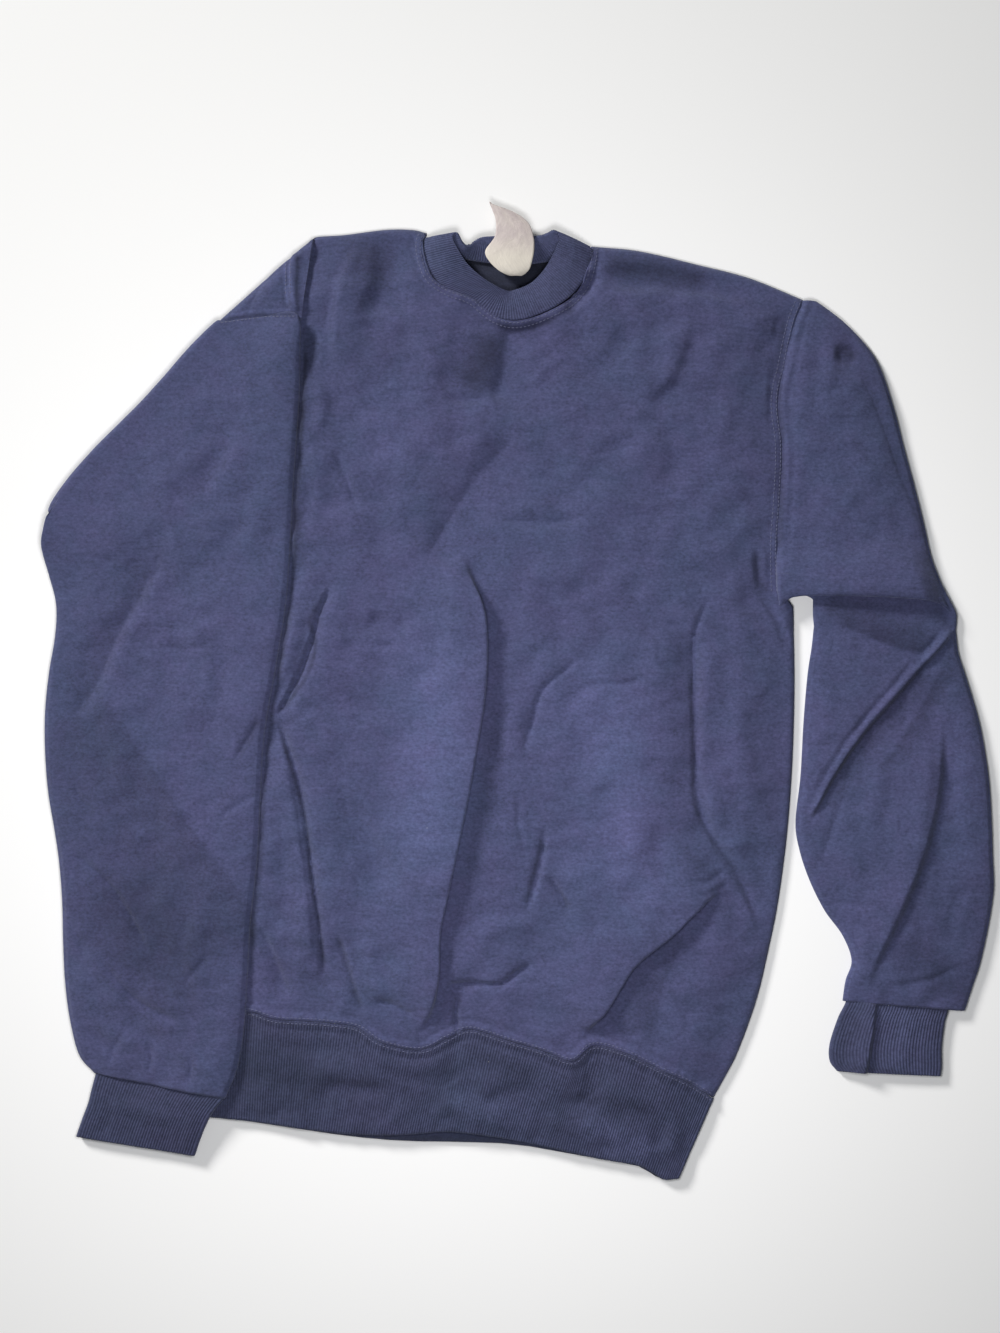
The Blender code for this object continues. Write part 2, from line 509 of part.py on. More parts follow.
def build_front():
    """The front: a patch between its four outlines, laid over the back and folded."""
    u = edge_shares(FRONT_COLUMNS, FRONT_WIDTH, both=True)
    v = edge_shares(FRONT_ROWS, FRONT_LENGTH, both=False)
    hem = resample(spline(HEM_SEAM, LINE_SAMPLES), u)
    before = u < NECK_FROM
    after = u >= NECK_TO
    neck = ~before & ~after
    top = np.vstack([
        resample(spline(LEFT_FOLD + LEFT_SHOULDER[1:], LINE_SAMPLES), u[before] / NECK_FROM),
        resample(spline(NECKLINE, LINE_SAMPLES), (u[neck] - NECK_FROM) / (NECK_TO - NECK_FROM)),
        resample(spline(RIGHT_SHOULDER, LINE_SAMPLES), (u[after] - NECK_TO) / (1.0 - NECK_TO)),
    ])
    left = resample(spline(LEFT_SIDE, LINE_SAMPLES), v)
    right = resample(spline(RIGHT_SIDE, LINE_SAMPLES), v)
    uu, vv = np.meshgrid(u, v)
    uu, vv = uu[..., None], vv[..., None]
    plan = (1 - vv) * hem[None] + vv * top[None]
    to_left = (left - plan[:, 0])[:, None]
    to_right = (right - plan[:, -1])[:, None]
    plan = plan + (1 - uu) ** 3 * to_left + uu ** 3 * to_right
    heights = front_height(plan.reshape(-1, 2)).reshape(plan.shape[:2])
    wall("front", with_height(plan, heights), FLEECE, FLEECE_COLOUR)


def left_of(start, end):
    """The unit direction to the left of the way from one point to another."""
    way = (np.asarray(end, float) - start) / np.linalg.norm(np.asarray(end, float) - start)
    return np.array([-way[1], way[0]])


def inset(path, distance):
    """A path moved to its left."""
    path = np.asarray(path, float)
    step = np.gradient(path, axis=0)
    step /= np.linalg.norm(step, axis=1, keepdims=True)
    return path + distance * np.stack([-step[:, 1], step[:, 0]], axis=1)


def build_back():
    """The back: flat on the surface, its left shoulder corner folded up over the front."""
    left = inset(spline(LEFT_SIDE, 22), -BACK_INSET)
    fold_ends = np.array([CORNER_FOLD["low"], CORNER_FOLD["high"]], float)
    fold = resample(fold_ends, np.linspace(0.0, 1.0, 6))
    left_shoulder = inset(spline(LEFT_SHOULDER, 5), -BACK_INSET)[1:]
    neck = spline(BACK_NECKLINE[::-1], 13)
    right_shoulder = inset(spline(RIGHT_SHOULDER, 7), -BACK_INSET)[1:-1]
    right = inset(spline(RIGHT_SIDE[::-1], 34), -BACK_INSET)[1:]
    hem = spline(BAND_BACK_SEAM, 14)[::-1] + np.array([0.0, SEAM_GAP + RIB_CLOTH / 2.0])
    flat = np.vstack([left[1:-1], fold, left_shoulder, neck, right_shoulder, right[:-1], hem[1:-1]])
    level = FLEECE / 2.0
    radius = CORNER_AXIS - level
    outward = left_of(fold[0], fold[-1])
    strip = []
    for angle in np.linspace(0.0, np.pi, FOLD_STEPS + 1)[1:]:
        lift = CORNER_AXIS - radius * math.cos(angle)
        strip.append([(*(point + outward * radius * math.sin(angle)), lift) for point in fold])
    low, high, tip = (np.array(CORNER_FLAP[key], float) for key in ("low", "high", "tip"))
    for row in CORNER_ROWS:
        ends = np.array([low + row["share"] * (tip - low), high + row["share"] * (tip - high)])
        line = resample(ends, np.linspace(0.0, 1.0, len(fold)))
        lowest = front_height(line) + FLEECE + LAYER_GAP + CORNER_CLEAR
        strip.append(with_height(line, np.maximum(FLAP_REST - row["drop"], lowest)))
    mesh = bpy.data.meshes.new("back")
    shape = bmesh.new()
    ring = [shape.verts.new((x * MM, y * MM, level * MM)) for x, y in flat]
    shape.faces.new(ring)
    start = len(left) - 2
    rows = [ring[start:start + len(fold)]]
    for row in strip:
        rows.append([shape.verts.new(np.array(point) * MM) for point in row])
    for lower, upper in zip(rows, rows[1:]):
        for j in range(len(fold) - 1):
            shape.faces.new((lower[j + 1], lower[j], upper[j], upper[j + 1]))
    bmesh.ops.recalc_face_normals(shape, faces=shape.faces[:])
    piece = finish("back", mesh, shape, FLEECE_COLOUR)
    solidify = piece.modifiers.new("cloth thickness", "SOLIDIFY")
    solidify.thickness = FLEECE * MM
    solidify.offset = 0.0
    solidify.use_even_offset = True
    return piece


def ring(start, end, first, second, thickness, shares, under_shares=None):
    """One section of a flat tube: its first layer, an end, its second layer and the other end."""
    if under_shares is None:
        under_shares = shares
    start, end = np.asarray(start, float), np.asarray(end, float)
    way = (end - start) / np.linalg.norm(end - start)
    radius = TUBE_GAP / 2.0
    inner_start = start + way * (thickness / 2.0 + radius)
    inner_end = end - way * (thickness / 2.0 + radius)
    line = inner_start + shares[:, None] * (inner_end - inner_start)
    under_line = inner_start + under_shares[:, None] * (inner_end - inner_start)
    first_z, second_z = first(line, shares), second(under_line, under_shares)
    first_line = with_height(line, first_z)
    second_line = with_height(under_line, second_z)
    turns = np.radians(TUBE_TURNS)
    ends = []
    for centre, outward, k, angles in ((inner_end, way, -1, turns), (inner_start, -way, 0, -turns)):
        middle = (first_z[k] + second_z[k]) / 2.0
        half = (first_z[k] - second_z[k]) / 2.0
        ends.append(np.array([(*(centre + outward * radius * math.cos(a)), middle + half * math.sin(a))
                              for a in angles]))
    return np.vstack([first_line, ends[0], second_line[::-1], ends[1]])


def swell(shares, height, power=0.5):
    """A tube's fullness: nothing at its two edges, the given height at its middle."""
    return height * np.sin(np.pi * np.clip(shares, 0.0, 1.0)) ** power


def fullness(points, shares, puff, folds):
    """How far a tube's upper layer stands off its lower one, with its creases."""
    creases = fold_heights(points, folds) if folds else np.zeros(len(points))
    return swell(shares, puff) + swell(shares, 1.0) * np.maximum(creases, -CREASE_DEPTH * puff)


def build_left_sleeve():
    """The left sleeve: flat beside the armhole, folded over a slanting line, then down the front."""
    shares = np.linspace(0.0, 1.0, SLEEVE_ACROSS + 1)

    def on_surface(points, s):
        return np.full(len(points), FLEECE / 2.0)

    def above_it(points, s):
        return np.full(len(points), FLEECE / 2.0 + TUBE_GAP)

    rows = []
    for row in LEFT_UNDER_ROWS + [LEFT_FOLD_LINE]:
        rows.append(ring(row["underarm"], row["top"], on_surface, above_it, FLEECE, shares))
    base = rows[-1]
    outward = left_of(LEFT_FOLD_LINE["underarm"], LEFT_FOLD_LINE["top"])
    reach = FOLD_AXIS - base[:, 2]
    for angle in np.linspace(0.0, np.pi, FOLD_STEPS + 1)[1:]:
        plan = base[:, :2] + outward * (reach * math.sin(angle))[:, None]
        rows.append(with_height(plan, FOLD_AXIS - reach * math.cos(angle)))
    for row in LEFT_FLAP_ROWS:
        def lower(points, s):
            return support_height(points) + FLEECE / 2.0

        def upper(points, s, puff=row["puff"]):
            rest = support_height(points) + FLEECE / 2.0 + TUBE_GAP
            return rest + fullness(points, s, puff, LEFT_SLEEVE_FOLDS)

        rows.append(ring(row["underarm"], row["top"], upper, lower, FLEECE, shares))
    wall("sleeve_left", rows, FLEECE, FLEECE_COLOUR, closed=True, downward=True)


def flat_tube_rows(table, folds, thickness, shares, ends=("inner", "outer"), under_shares=None):
    """Sections of a flat tube that lies on the surface."""
    rows = []
    for row in table:
        def lower(points, s):
            return np.full(len(points), thickness / 2.0)

        def upper(points, s, puff=row["puff"]):
            return thickness / 2.0 + TUBE_GAP + fullness(points, s, puff, folds)

        rows.append(ring(row[ends[0]], row[ends[1]], upper, lower, thickness, shares, under_shares))
    return rows


def build_right_sleeve():
    """The right sleeve: beside the body, its top layer stepped where it is doubled at the elbow."""
    shares = np.linspace(0.0, 1.0, SLEEVE_ACROSS + 1)
    rows = flat_tube_rows(UPPER_ARM_ROWS, RIGHT_SLEEVE_FOLDS, FLEECE, shares)
    forearm = flat_tube_rows(FOREARM_ROWS, RIGHT_SLEEVE_FOLDS, FLEECE, shares)
    fold_start = np.array(ELBOW_FOLD["inner"], float)
    fold_end = np.array(ELBOW_FOLD["outer"], float)
    after_start = np.array(FOREARM_ROWS[0]["inner"], float)
    after_end = np.array(FOREARM_ROWS[0]["outer"], float)
    count = len(shares)
    turns = len(TUBE_TURNS)
    for k, step in enumerate(ELBOW_STEP_ROWS):
        share = (k + 1.0) / (len(ELBOW_STEP_ROWS) + 1.0)
        start = fold_start + share * (after_start - fold_start)
        end = fold_end + share * (after_end - fold_end)

        def upper(points, s, height=step["height"]):
            rest = FLEECE / 2.0 + TUBE_GAP
            return rest + swell(s, height - rest, ELBOW_FULLNESS)

        def lower(points, s):
            return np.full(len(points), FLEECE / 2.0)

        section = ring(start, end, upper, lower, FLEECE, shares)
        fold_y = (fold_start + shares[:, None] * (fold_end - fold_start))[:, 1]
        section[:count, 1] = fold_y - step["past"]
        section[count:count + turns, 1] = 0.5 * (section[count - 1, 1] + section[count + turns, 1])
        section[-turns:, 1] = 0.5 * (section[0, 1] + section[-turns - 1, 1])
        rows.append(section)
    rows += forearm
    wall("sleeve_right", rows, FLEECE, FLEECE_COLOUR, closed=True, downward=True)


def ribs_for(ring_size, ribbed):
    """Heights of the raised ribs round a section whose first points are ribbed."""
    rise = np.zeros(ring_size)
    rise[RIB_MARGIN:ribbed - RIB_MARGIN:2] = RIB_RISE
    return rise


def build_cuff(name, table, ends, lifted):
    """A cuff: a flat open tube with ribs raised on its upper side."""
    width = np.linalg.norm(np.array(table[0][ends[0]]) - np.array(table[0][ends[1]]))
    shares = np.linspace(0.0, 1.0, 2 * int(width / RIB_PITCH) + 1)
    under_shares = np.linspace(0.0, 1.0, CUFF_UNDERSIDE)
    rows = flat_tube_rows(table, None, RIB_CLOTH, shares, ends, under_shares)
    if lifted:
        for section in rows:
            section[:, 2] += support_height(section[:, :2])
    ribs = ribs_for(len(rows[0]), len(shares))
    wall(name, rows, RIB_CLOTH, RIB_COLOUR, closed=True, downward=True, ribs=ribs)


def band_end(front, back, reach, turns):
    """The turned cloth between the waistband's two layers at one side."""
    radius = abs(reach)
    middle = (front[1] + back[1]) / 2.0
    level = RIB_CLOTH / 2.0 + radius
    return [(front[0] + reach * math.cos(a), middle, level + radius * math.sin(a)) for a in turns]


def build_waistband():
    """The waistband: a flat open tube; the front layer is ribbed and follows the front's folds."""
    u = edge_shares(FRONT_COLUMNS, FRONT_WIDTH, both=True)
    seam = resample(spline(HEM_SEAM, LINE_SAMPLES), u)
    width = np.linalg.norm(np.diff(seam, axis=0), axis=1).sum()
    shares = np.linspace(0.0, 1.0, 2 * int(width / RIB_PITCH) + 1)
    seam_line = resample(with_height(seam, front_height(seam)), shares)
    seam_z = seam_line[:, 2]
    seam_plan = inset(seam_line[:, :2], -BAND_SEAM_GAP)
    edge_plan = resample(spline(BAND_FRONT_EDGE, LINE_SAMPLES), shares)
    back_shares = np.linspace(0.0, 1.0, BAND_UNDERSIDE)
    back_seam = resample(spline(BAND_BACK_SEAM, LINE_SAMPLES), back_shares)
    back_edge = resample(spline(BAND_BACK_EDGE, LINE_SAMPLES), back_shares)
    level = RIB_CLOTH / 2.0
    radius = TUBE_GAP / 2.0
    inner = radius + level
    rest = level + TUBE_GAP
    turns = np.radians(TUBE_TURNS)
    rows = []
    for t in BAND_ROWS:
        plan = seam_plan + t * (edge_plan - seam_plan)
        waves = fold_heights(plan, BAND_WAVES) * smooth_step(2.0 * t) * (1.0 - 0.5 * t ** 4)
        full = rest + swell(shares, BAND_FULLNESS) + waves
        z = full + (np.maximum(seam_z, rest) - full) * (1.0 - t) ** BAND_EASE
        back = back_seam + t * (back_edge - back_seam)
        from_left = plan[:, 0] - plan[0, 0]
        from_right = plan[-1, 0] - plan[:, 0]
        plan[:, 0] += inner * np.clip(1.0 - from_left / BAND_END, 0.0, 1.0) ** 2
        plan[:, 0] -= inner * np.clip(1.0 - from_right / BAND_END, 0.0, 1.0) ** 2
        back_squeeze = (plan[-1, 0] - plan[0, 0]) / (back[-1, 0] - back[0, 0])
        back[:, 0] = plan[0, 0] + (back[:, 0] - back[0, 0]) * back_squeeze
        front_row = with_height(plan, z)
        back_row = with_height(back, np.full(len(back), level))[::-1]
        right_end = band_end(plan[-1], back[-1], radius, turns)
        left_end = band_end(plan[0], back[0], -radius, -turns)
        rows.append(np.vstack([front_row, right_end, back_row, left_end]))
    ribs = ribs_for(len(rows[0]), len(shares))
    wall("waistband", rows, RIB_CLOTH, RIB_COLOUR, closed=True, downward=True, ribs=ribs)


def build_neckband():
    """The neckband: a ribbed ring sewn to the neckline, buckled at its two sides."""
    seam = [(*row["seam"], row["seam_z"]) for row in NECK_STATIONS]
    edge = [(*row["edge"], row["edge_z"]) for row in NECK_STATIONS]
    seam = loop_by_station(seam, NECK_STEPS)
    edge = loop_by_station(edge, NECK_STEPS)
    stations = len(seam)
    rows = []
    for place in NECK_ROWS:
        row = seam + place["share"] * (edge - seam)
        row[:, 2] += place["bow"]
        rows.append(row)
    rise = np.zeros(stations)
    facing_up = seam[:, 2] > NECK_TURN
    rise[1::2] = RIB_RISE
    rise[~facing_up] = 0.0
    wall("neckband", rows, RIB_CLOTH, RIB_COLOUR, closed=True, ribs=rise)


def build_label():
    """The size label: a blank satin tab, curled over at its foot and lying up over the neckband."""
    rows = []
    for row in LABEL_ROWS:
        ends = np.array([row["start"], row["end"]], float)
        line = resample(ends, np.linspace(0.0, 1.0, LABEL_ACROSS))
        rows.append(with_height(line, np.full(LABEL_ACROSS, row["height"])))
    wall("neck_label", rows, LABEL_CLOTH, LABEL_COLOUR)


def main():
    """Builds every piece of the sweatshirt."""
    for old in list(bpy.data.objects):
        bpy.data.objects.remove(old, do_unlink=True)
    build_back()
    build_front()
    build_waistband()
    build_right_sleeve()
    build_cuff("cuff_right", RIGHT_CUFF_ROWS, ("inner", "outer"), lifted=False)
    build_left_sleeve()
    build_cuff("cuff_left", LEFT_CUFF_ROWS, ("underarm", "top"), lifted=True)
    build_neckband()
    build_label()


main()
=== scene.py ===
"""Crewneck sweatshirt laid flat with one sleeve folded over: the finished look.

Each sewn piece is a fine, thin shell of cloth that stands for its rigid solid.
Tables are in millimetres: X across the garment, Y up to the neck, Z up off the
surface.  Left and right are as seen from above.
"""
import logging
import math
from dataclasses import dataclass
from enum import Enum

import bpy
import numpy as np
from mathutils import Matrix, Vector, noise
from mathutils.bvhtree import BVHTree


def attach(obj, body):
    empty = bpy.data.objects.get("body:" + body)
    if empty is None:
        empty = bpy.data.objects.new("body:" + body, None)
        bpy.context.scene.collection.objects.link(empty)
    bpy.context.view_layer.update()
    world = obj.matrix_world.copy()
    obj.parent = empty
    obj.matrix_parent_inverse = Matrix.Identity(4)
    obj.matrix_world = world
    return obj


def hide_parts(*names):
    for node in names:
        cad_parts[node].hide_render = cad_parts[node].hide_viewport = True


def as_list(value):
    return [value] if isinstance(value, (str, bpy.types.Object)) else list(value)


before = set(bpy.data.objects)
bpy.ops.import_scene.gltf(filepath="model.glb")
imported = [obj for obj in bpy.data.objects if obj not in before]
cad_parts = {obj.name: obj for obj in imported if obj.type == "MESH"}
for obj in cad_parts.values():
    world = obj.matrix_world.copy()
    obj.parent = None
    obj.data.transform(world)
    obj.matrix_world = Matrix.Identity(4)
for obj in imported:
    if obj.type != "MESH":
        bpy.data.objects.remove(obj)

MM = 0.001
CENTRE_SHIFT = np.array([0.14, 0.16])
LOG = logging.getLogger("sweatshirt")

FLEECE = 1.8            # brushed-back fleece
RIB_CLOTH = 2.0         # doubled rib knit
SATIN = 0.5             # woven label
TUBE_GAP = 2.8          # between the middles of a flat tube's two layers
LAYER_GAP = 0.5
FOLD_AXIS = 4.8         # height of the axis that the left sleeve folds about

Table = list[tuple[float, ...]]


def smooth_step(value: np.ndarray | float) -> np.ndarray:
    """Eases from 0 to 1."""
    value = np.clip(value, 0.0, 1.0)
    return value * value * (3.0 - 2.0 * value)


def resample(line: np.ndarray, shares: np.ndarray) -> np.ndarray:
    """Points at the given shares of a polyline's length.

    Args:
        line: points of the polyline, one a row.
        shares: places along it, from 0 to 1.

    Returns:
        One point for each share.
    """
    line = np.asarray(line, float)
    steps = np.linalg.norm(np.diff(line, axis=0), axis=1)
    reach = np.concatenate([[0.0], np.cumsum(steps)])
    places = np.asarray(shares) * reach[-1]
    return np.stack([np.interp(places, reach, line[:, k]) for k in range(line.shape[1])], axis=-1)


def catmull(points: np.ndarray, steps: int, closed: bool = False) -> np.ndarray:
    """Points on a smooth curve through the given ones, the same number between each two.

    Args:
        points: the points that the curve passes through, one a row.
        steps: points for each span.
        closed: whether the last point joins the first.

    Returns:
        The curve's points. An open curve ends with the last given point.
    """
    points = np.asarray(points, float)
    if closed:
        padded = np.vstack([points[-1:], points, points[:2]])
    else:
        padded = np.vstack([2 * points[:1] - points[1:2], points, 2 * points[-1:] - points[-2:-1]])
    a, b, c, d = padded[:-3], padded[1:-2], padded[2:-1], padded[3:]
    t = np.linspace(0.0, 1.0, steps, endpoint=False)[None, :, None]
    a, b, c, d = (part[:, None, :] for part in (a, b, c, d))
    curve = 0.5 * (2 * b + (c - a) * t + (2 * a - 5 * b + 4 * c - d) * t ** 2
                   + (3 * b - a - 3 * c + d) * t ** 3)
    curve = curve.reshape(-1, points.shape[1])
    return curve if closed else np.vstack([curve, points[-1:]])


def spline(points: Table, count: int) -> np.ndarray:
    """Evenly spaced points along a smooth curve through the given ones."""
    return resample(catmull(np.asarray(points), 16), np.linspace(0.0, 1.0, count))


def inset(path: np.ndarray, distance: float) -> np.ndarray:
    """A path in plan, moved to its left by a distance."""
    path = np.asarray(path, float)
    step = np.gradient(path, axis=0)
    step /= np.linalg.norm(step, axis=1, keepdims=True)
    return path + distance * np.stack([-step[:, 1], step[:, 0]], axis=1)


def from_line(points: np.ndarray, line: np.ndarray) -> tuple[np.ndarray, np.ndarray, np.ndarray]:
    """How points lie beside a polyline in plan.

    Args:
        points: points in plan, one a row.
        line: the polyline.

    Returns:
        The distance of each point, plus on the line's left and minus on its right,
        the share of the line's length at its foot, and the unit direction to the
        line's left there.
    """
    start, way = line[:-1], np.diff(line, axis=0)
    length = np.linalg.norm(way, axis=1)
    reach = np.concatenate([[0.0], np.cumsum(length)])
    away = np.empty(len(points))
    share = np.empty(len(points))
    left = np.empty((len(points), 2))
    chunk = 20000
    for first in range(0, len(points), chunk):
        part = points[first:first + chunk]
        offset = part[:, None, :] - start[None]
        t = np.clip((offset * way[None]).sum(2) / (length ** 2)[None], 0.0, 1.0)
        rest = offset - t[..., None] * way[None]
        distance = np.hypot(rest[..., 0], rest[..., 1])
        k = np.argmin(distance, axis=1)
        row = np.arange(len(part))
        side = way[k, 0] * rest[row, k, 1] - way[k, 1] * rest[row, k, 0]
        away[first:first + chunk] = distance[row, k] * np.where(side < 0.0, -1.0, 1.0)
        share[first:first + chunk] = (reach[k] + t[row, k] * length[k]) / reach[-1]
        left[first:first + chunk] = np.stack([-way[k, 1], way[k, 0]], axis=1) / length[k][:, None]
    return away, share, left


class Profile(Enum):
    """The section across a fold."""

    ROUND = "round"
    SHARP = "sharp"


@dataclass(frozen=True)
class Fold:
    """A fold, ridge or crease placed along a smooth path.

    Attributes:
        path: points in plan that it runs through.
        height: of its crest, or minus its depth.
        left: how far it runs out to the left as one travels along the path.
        right: how far it runs out to the right.
        lean: how far its crest hangs over to the left, or to the right if minus.
        taper: share of the path over which each end fades.
        profile: the section across it.
    """

    path: Table
    height: float
    left: float
    right: float
    lean: float = 0.0
    taper: float = 0.25
    profile: Profile = Profile.ROUND

    def raise_in(self, points: np.ndarray, heights: np.ndarray, shifts: np.ndarray) -> None:
        """Adds this fold to the heights and sideways shifts of points in plan."""
        line = spline(self.path, 40)
        reach = max(self.left, self.right)
        low, high = line.min(axis=0) - reach, line.max(axis=0) + reach
        near = np.nonzero(((points > low) & (points < high)).all(axis=1))[0]
        if not len(near):
            return
        away, share, left = from_line(points[near], line)
        out = np.clip(np.abs(away) / np.where(away > 0.0, self.left, self.right), 0.0, 1.0)
        swell = 0.5 * (1.0 + np.cos(np.pi * out))
        if self.profile is Profile.SHARP:
            swell = (1.0 - out) ** 2
        ends = smooth_step(share / self.taper) * smooth_step((1.0 - share) / self.taper)
        heights[near] += self.height * swell * ends
        if self.lean:
            shifts[near] += (self.lean * swell * ends)[:, None] * left


def crease(path: Table, height: float, left: float, right: float, taper: float = 0.25) -> Fold:
    """A fold with a sharp section, whose crest doesn't lean."""
    return Fold(path, height, left, right, taper=taper, profile=Profile.SHARP)


def relief(points: np.ndarray, folds: list[Fold]) -> tuple[np.ndarray, np.ndarray]:
    """Sum of folds at points in plan.

    Args:
        points: points in plan, one a row.
        folds: the folds to add up.

    Returns:
        The heights, and the sideways shifts.
    """
    heights = np.zeros(len(points))
    shifts = np.zeros((len(points), 2))
    for fold in folds:
        fold.raise_in(points, heights, shifts)
    return heights, shifts


# Painted light and shade: strokes and patches whose heights make the cloth's colour lighter by that share,
# or darker if minus. They paint shadows beside folds and under edges, dark lines in creases, and lighter or
# darker patches. Two thin light lines lie under the left shoulder seam's stitches.
PAINTED_LIGHT_AND_SHADE = [
    Fold([(-66.4, 67.9), (-64.9, -52.1), (-73.9, -157.1)], 0.26, 48, 48),
    Fold([(31.1, 37.9), (76.1, -67.1), (61.1, -179.6)], 0.27, 60, 60),
    Fold([(-92.6, 240.4), (-96.4, 157.9)], 0.15, 36, 36),
    Fold([(-18.4, 270.4), (-24.4, 246.4), (-39.4, 219.4)], -0.48, 16, 26),
    Fold([(-37.9, 286.9), (-13.9, 271.9), (16.1, 274.1), (32.6, 282.4)], -0.18, 8, 8),
    Fold([(59.6, 318.4), (98.6, 313.9), (145.1, 306.4)], -0.42, 15, 15, taper=0.15),
    Fold([(-137.6, 325.9), (-88.9, 316.9)], -0.28, 30, 30),
    Fold([(-321.4, 7.9), (-276.4, -55.9), (-236.6, -115.9), (-204.4, -160.9), (-192.4, -202.1)], -0.22, 7,
         130, taper=0.12),
    Fold([(-261.4, 109.1), (-292.9, 52.9), (-316.1, 7.9), (-336.4, -29.6)], -0.16, 6, 34, taper=0.2),
    Fold([(-306.4, -127.1), (-283.9, -179.6), (-223.9, -239.6)], -0.27, 60, 60),
    Fold([(327.4, 0.4), (332.6, -82.1), (323.6, -160.9)], 0.24, 24, 28),
    Fold([(223.1, 55.9), (252.4, 45.4), (286.9, 31.9), (308.6, 31.9)], -0.40, 30, 3, taper=0.1),
    Fold([(308.6, 28.9), (290.6, 6.4), (248.6, -43.1), (221.6, -85.1)], -0.22, 34, 3, taper=0.15),
    Fold([(128.6, 52.9), (136.1, -22.1), (128.6, -82.1)], -0.10, 14, 36),
    Fold([(-156.4, 270.4), (-160.9, 202.9), (-166.9, 127.9)], -0.14, 12, 14),
    Fold([(-160.9, 270.4), (-159.4, 246.4), (-160.9, 205.9), (-163.9, 163.9), (-166.9, 115.9),
          (-169.9, 67.9), (-177.4, 19.1), (-186.4, -33.4), (-190.1, -82.1), (-192.4, -127.1),
          (-197.6, -175.9), (-199.9, -217.1)], -0.34, 4, 2, taper=0.05),
    Fold([(-157.1, 276.4), (-155.6, 255.4), (-159.4, 234.4)], -0.25, 8, 7),
    Fold([(-162.4, 216.4), (-163.1, 202.9), (-164.6, 187.9)], -0.20, 6, 5),
    Fold([(-163.1, 142.9), (-164.6, 112.9), (-167.6, 86.6)], -0.25, 7, 5),
    Fold([(-147.4, 69.4), (-155.6, 51.4), (-151.1, 37.9), (-155.6, 15.4), (-167.6, -3.4), (-182.6, -19.9)],
         -0.38, 3, 3, taper=0.12),
    Fold([(-179.6, -22.9), (-172.9, -46.1), (-166.1, -68.6), (-158.6, -97.9), (-154.9, -136.9),
          (-148.9, -172.9), (-145.1, -214.9)], -0.50, 2.7, 2.7, taper=0.10),
    Fold([(-192.4, -202.1), (-163.9, -217.1), (-130.1, -220.9)], -0.12, 30, 14),
    Fold([(-13.9, 7.9), (-19.9, -52.1), (-30.4, -112.1), (-43.9, -160.9)], -0.16, 13, 13),
    Fold([(17.6, -101.6), (15.4, -119.6), (9.4, -142.1), (3.4, -166.1)], -0.36, 3, 3),
    Fold([(22.1, -141.4), (29.6, -149.6), (35.6, -157.1), (34.9, -167.6)], -0.30, 3, 3),
    Fold([(131.6, 25.9), (128.6, -3.4), (130.9, -44.6), (130.1, -80.6), (139.9, -103.9), (160.1, -133.1),
          (172.1, -161.6), (180.4, -184.9)], -0.34, 3, 3, taper=0.12),
    Fold([(118.1, -37.1), (112.1, -97.1), (128.6, -149.6)], -0.12, 22, 30),
    Fold([(124.1, -179.6), (112.1, -206.6), (103.9, -232.1), (100.1, -262.1)], -0.16, 3, 44, taper=0.12),
    Fold([(178.1, 109.1), (179.6, 86.6), (185.6, 66.4)], -0.30, 6, 7),
    Fold([(199.9, 283.9), (196.9, 253.9), (193.9, 221.6), (196.1, 187.9), (196.1, 142.9), (194.6, 100.9)],
         -0.34, 5, 6, taper=0.08),
    Fold([(322.1, 40.9), (309.4, 26.6), (287.6, 1.1), (245.6, -48.4), (215.6, -100.1)], -0.34, 3, 3,
         taper=0.06),
    Fold([(-36.4, -269.6), (-13.9, -277.1), (16.1, -287.6)], -0.20, 8, 14),
    Fold([(35.6, -298.1), (68.6, -305.6), (106.1, -314.6)], -0.18, 8, 10),
    Fold([(-58.9, -299.6), (-13.9, -310.1), (20.6, -313.1)], 0.20, 20, 22),
    Fold([(38.6, -322.1), (76.1, -335.6), (109.1, -344.6)], 0.36, 16, 20),
    Fold([(-226.9, -277.1), (-171.4, -289.1), (-133.9, -307.1)], -0.20, 40, 40),
    Fold([(286.1, -236.6), (283.1, -262.1), (280.1, -284.6)], 0.34, 50, 40, taper=0.05),
    Fold([(-22.9, 276.4), (-0.4, 269.6), (23.6, 276.4), (46.1, 290.6)], -0.22, 4, 5, taper=0.15),
    Fold([(233.6, 256.1), (244.9, 253.1), (253.9, 245.6)], -0.42, 9, 12),
    Fold([(251.6, 245.6), (268.1, 208.1), (283.1, 166.1), (295.1, 136.9), (305.6, 107.6)], -0.26, 7, 4,
         taper=0.12),
    Fold([(-135.4, -179.6), (-129.4, -199.9), (-122.6, -222.4), (-115.9, -242.6)], -0.32, 2.7, 5,
         taper=0.15),
    Fold([(-189.4, -16.1), (-199.1, -34.1), (-208.9, -52.1)], -0.26, 4, 6),
    Fold([(-222.4, 276.4), (-193.9, 280.1), (-165.4, 278.6)], -0.36, 2, 2.6, taper=0.05),
    Fold([(325.1, 30.4), (305.6, -7.1), (281.6, -44.6), (262.1, -65.6)], -0.26, 16, 4, taper=0.2),
    Fold([(280.9, -185.6), (311.6, -211.1), (329.6, -230.6)], -0.24, 24, 22),
    Fold([(308.6, -37.1), (304.9, -82.1), (295.1, -142.1), (280.9, -190.9)], -0.16, 14, 4, taper=0.2),
    Fold([(248.6, -134.6), (242.6, -179.6), (247.1, -220.9)], 0.14, 12, 10),
    Fold([(-216.4, 280.1), (-192.4, 283.5), (-166.9, 283.1)], 0.28, 2, 2, taper=0.1),
    Fold([(-174.0, 321.4), (-173.6, 304.1), (-171.0, 285.4)], 0.32, 1.6, 1.6, taper=0.1),
    Fold([(-169.9, 322.9), (-169.5, 304.1), (-166.9, 285.4)], 0.32, 1.6, 1.6, taper=0.1),
    Fold([(-165.0, 325.9), (-165.4, 300.4), (-164.2, 279.4)], -0.42, 3, 2, taper=0.1),
]


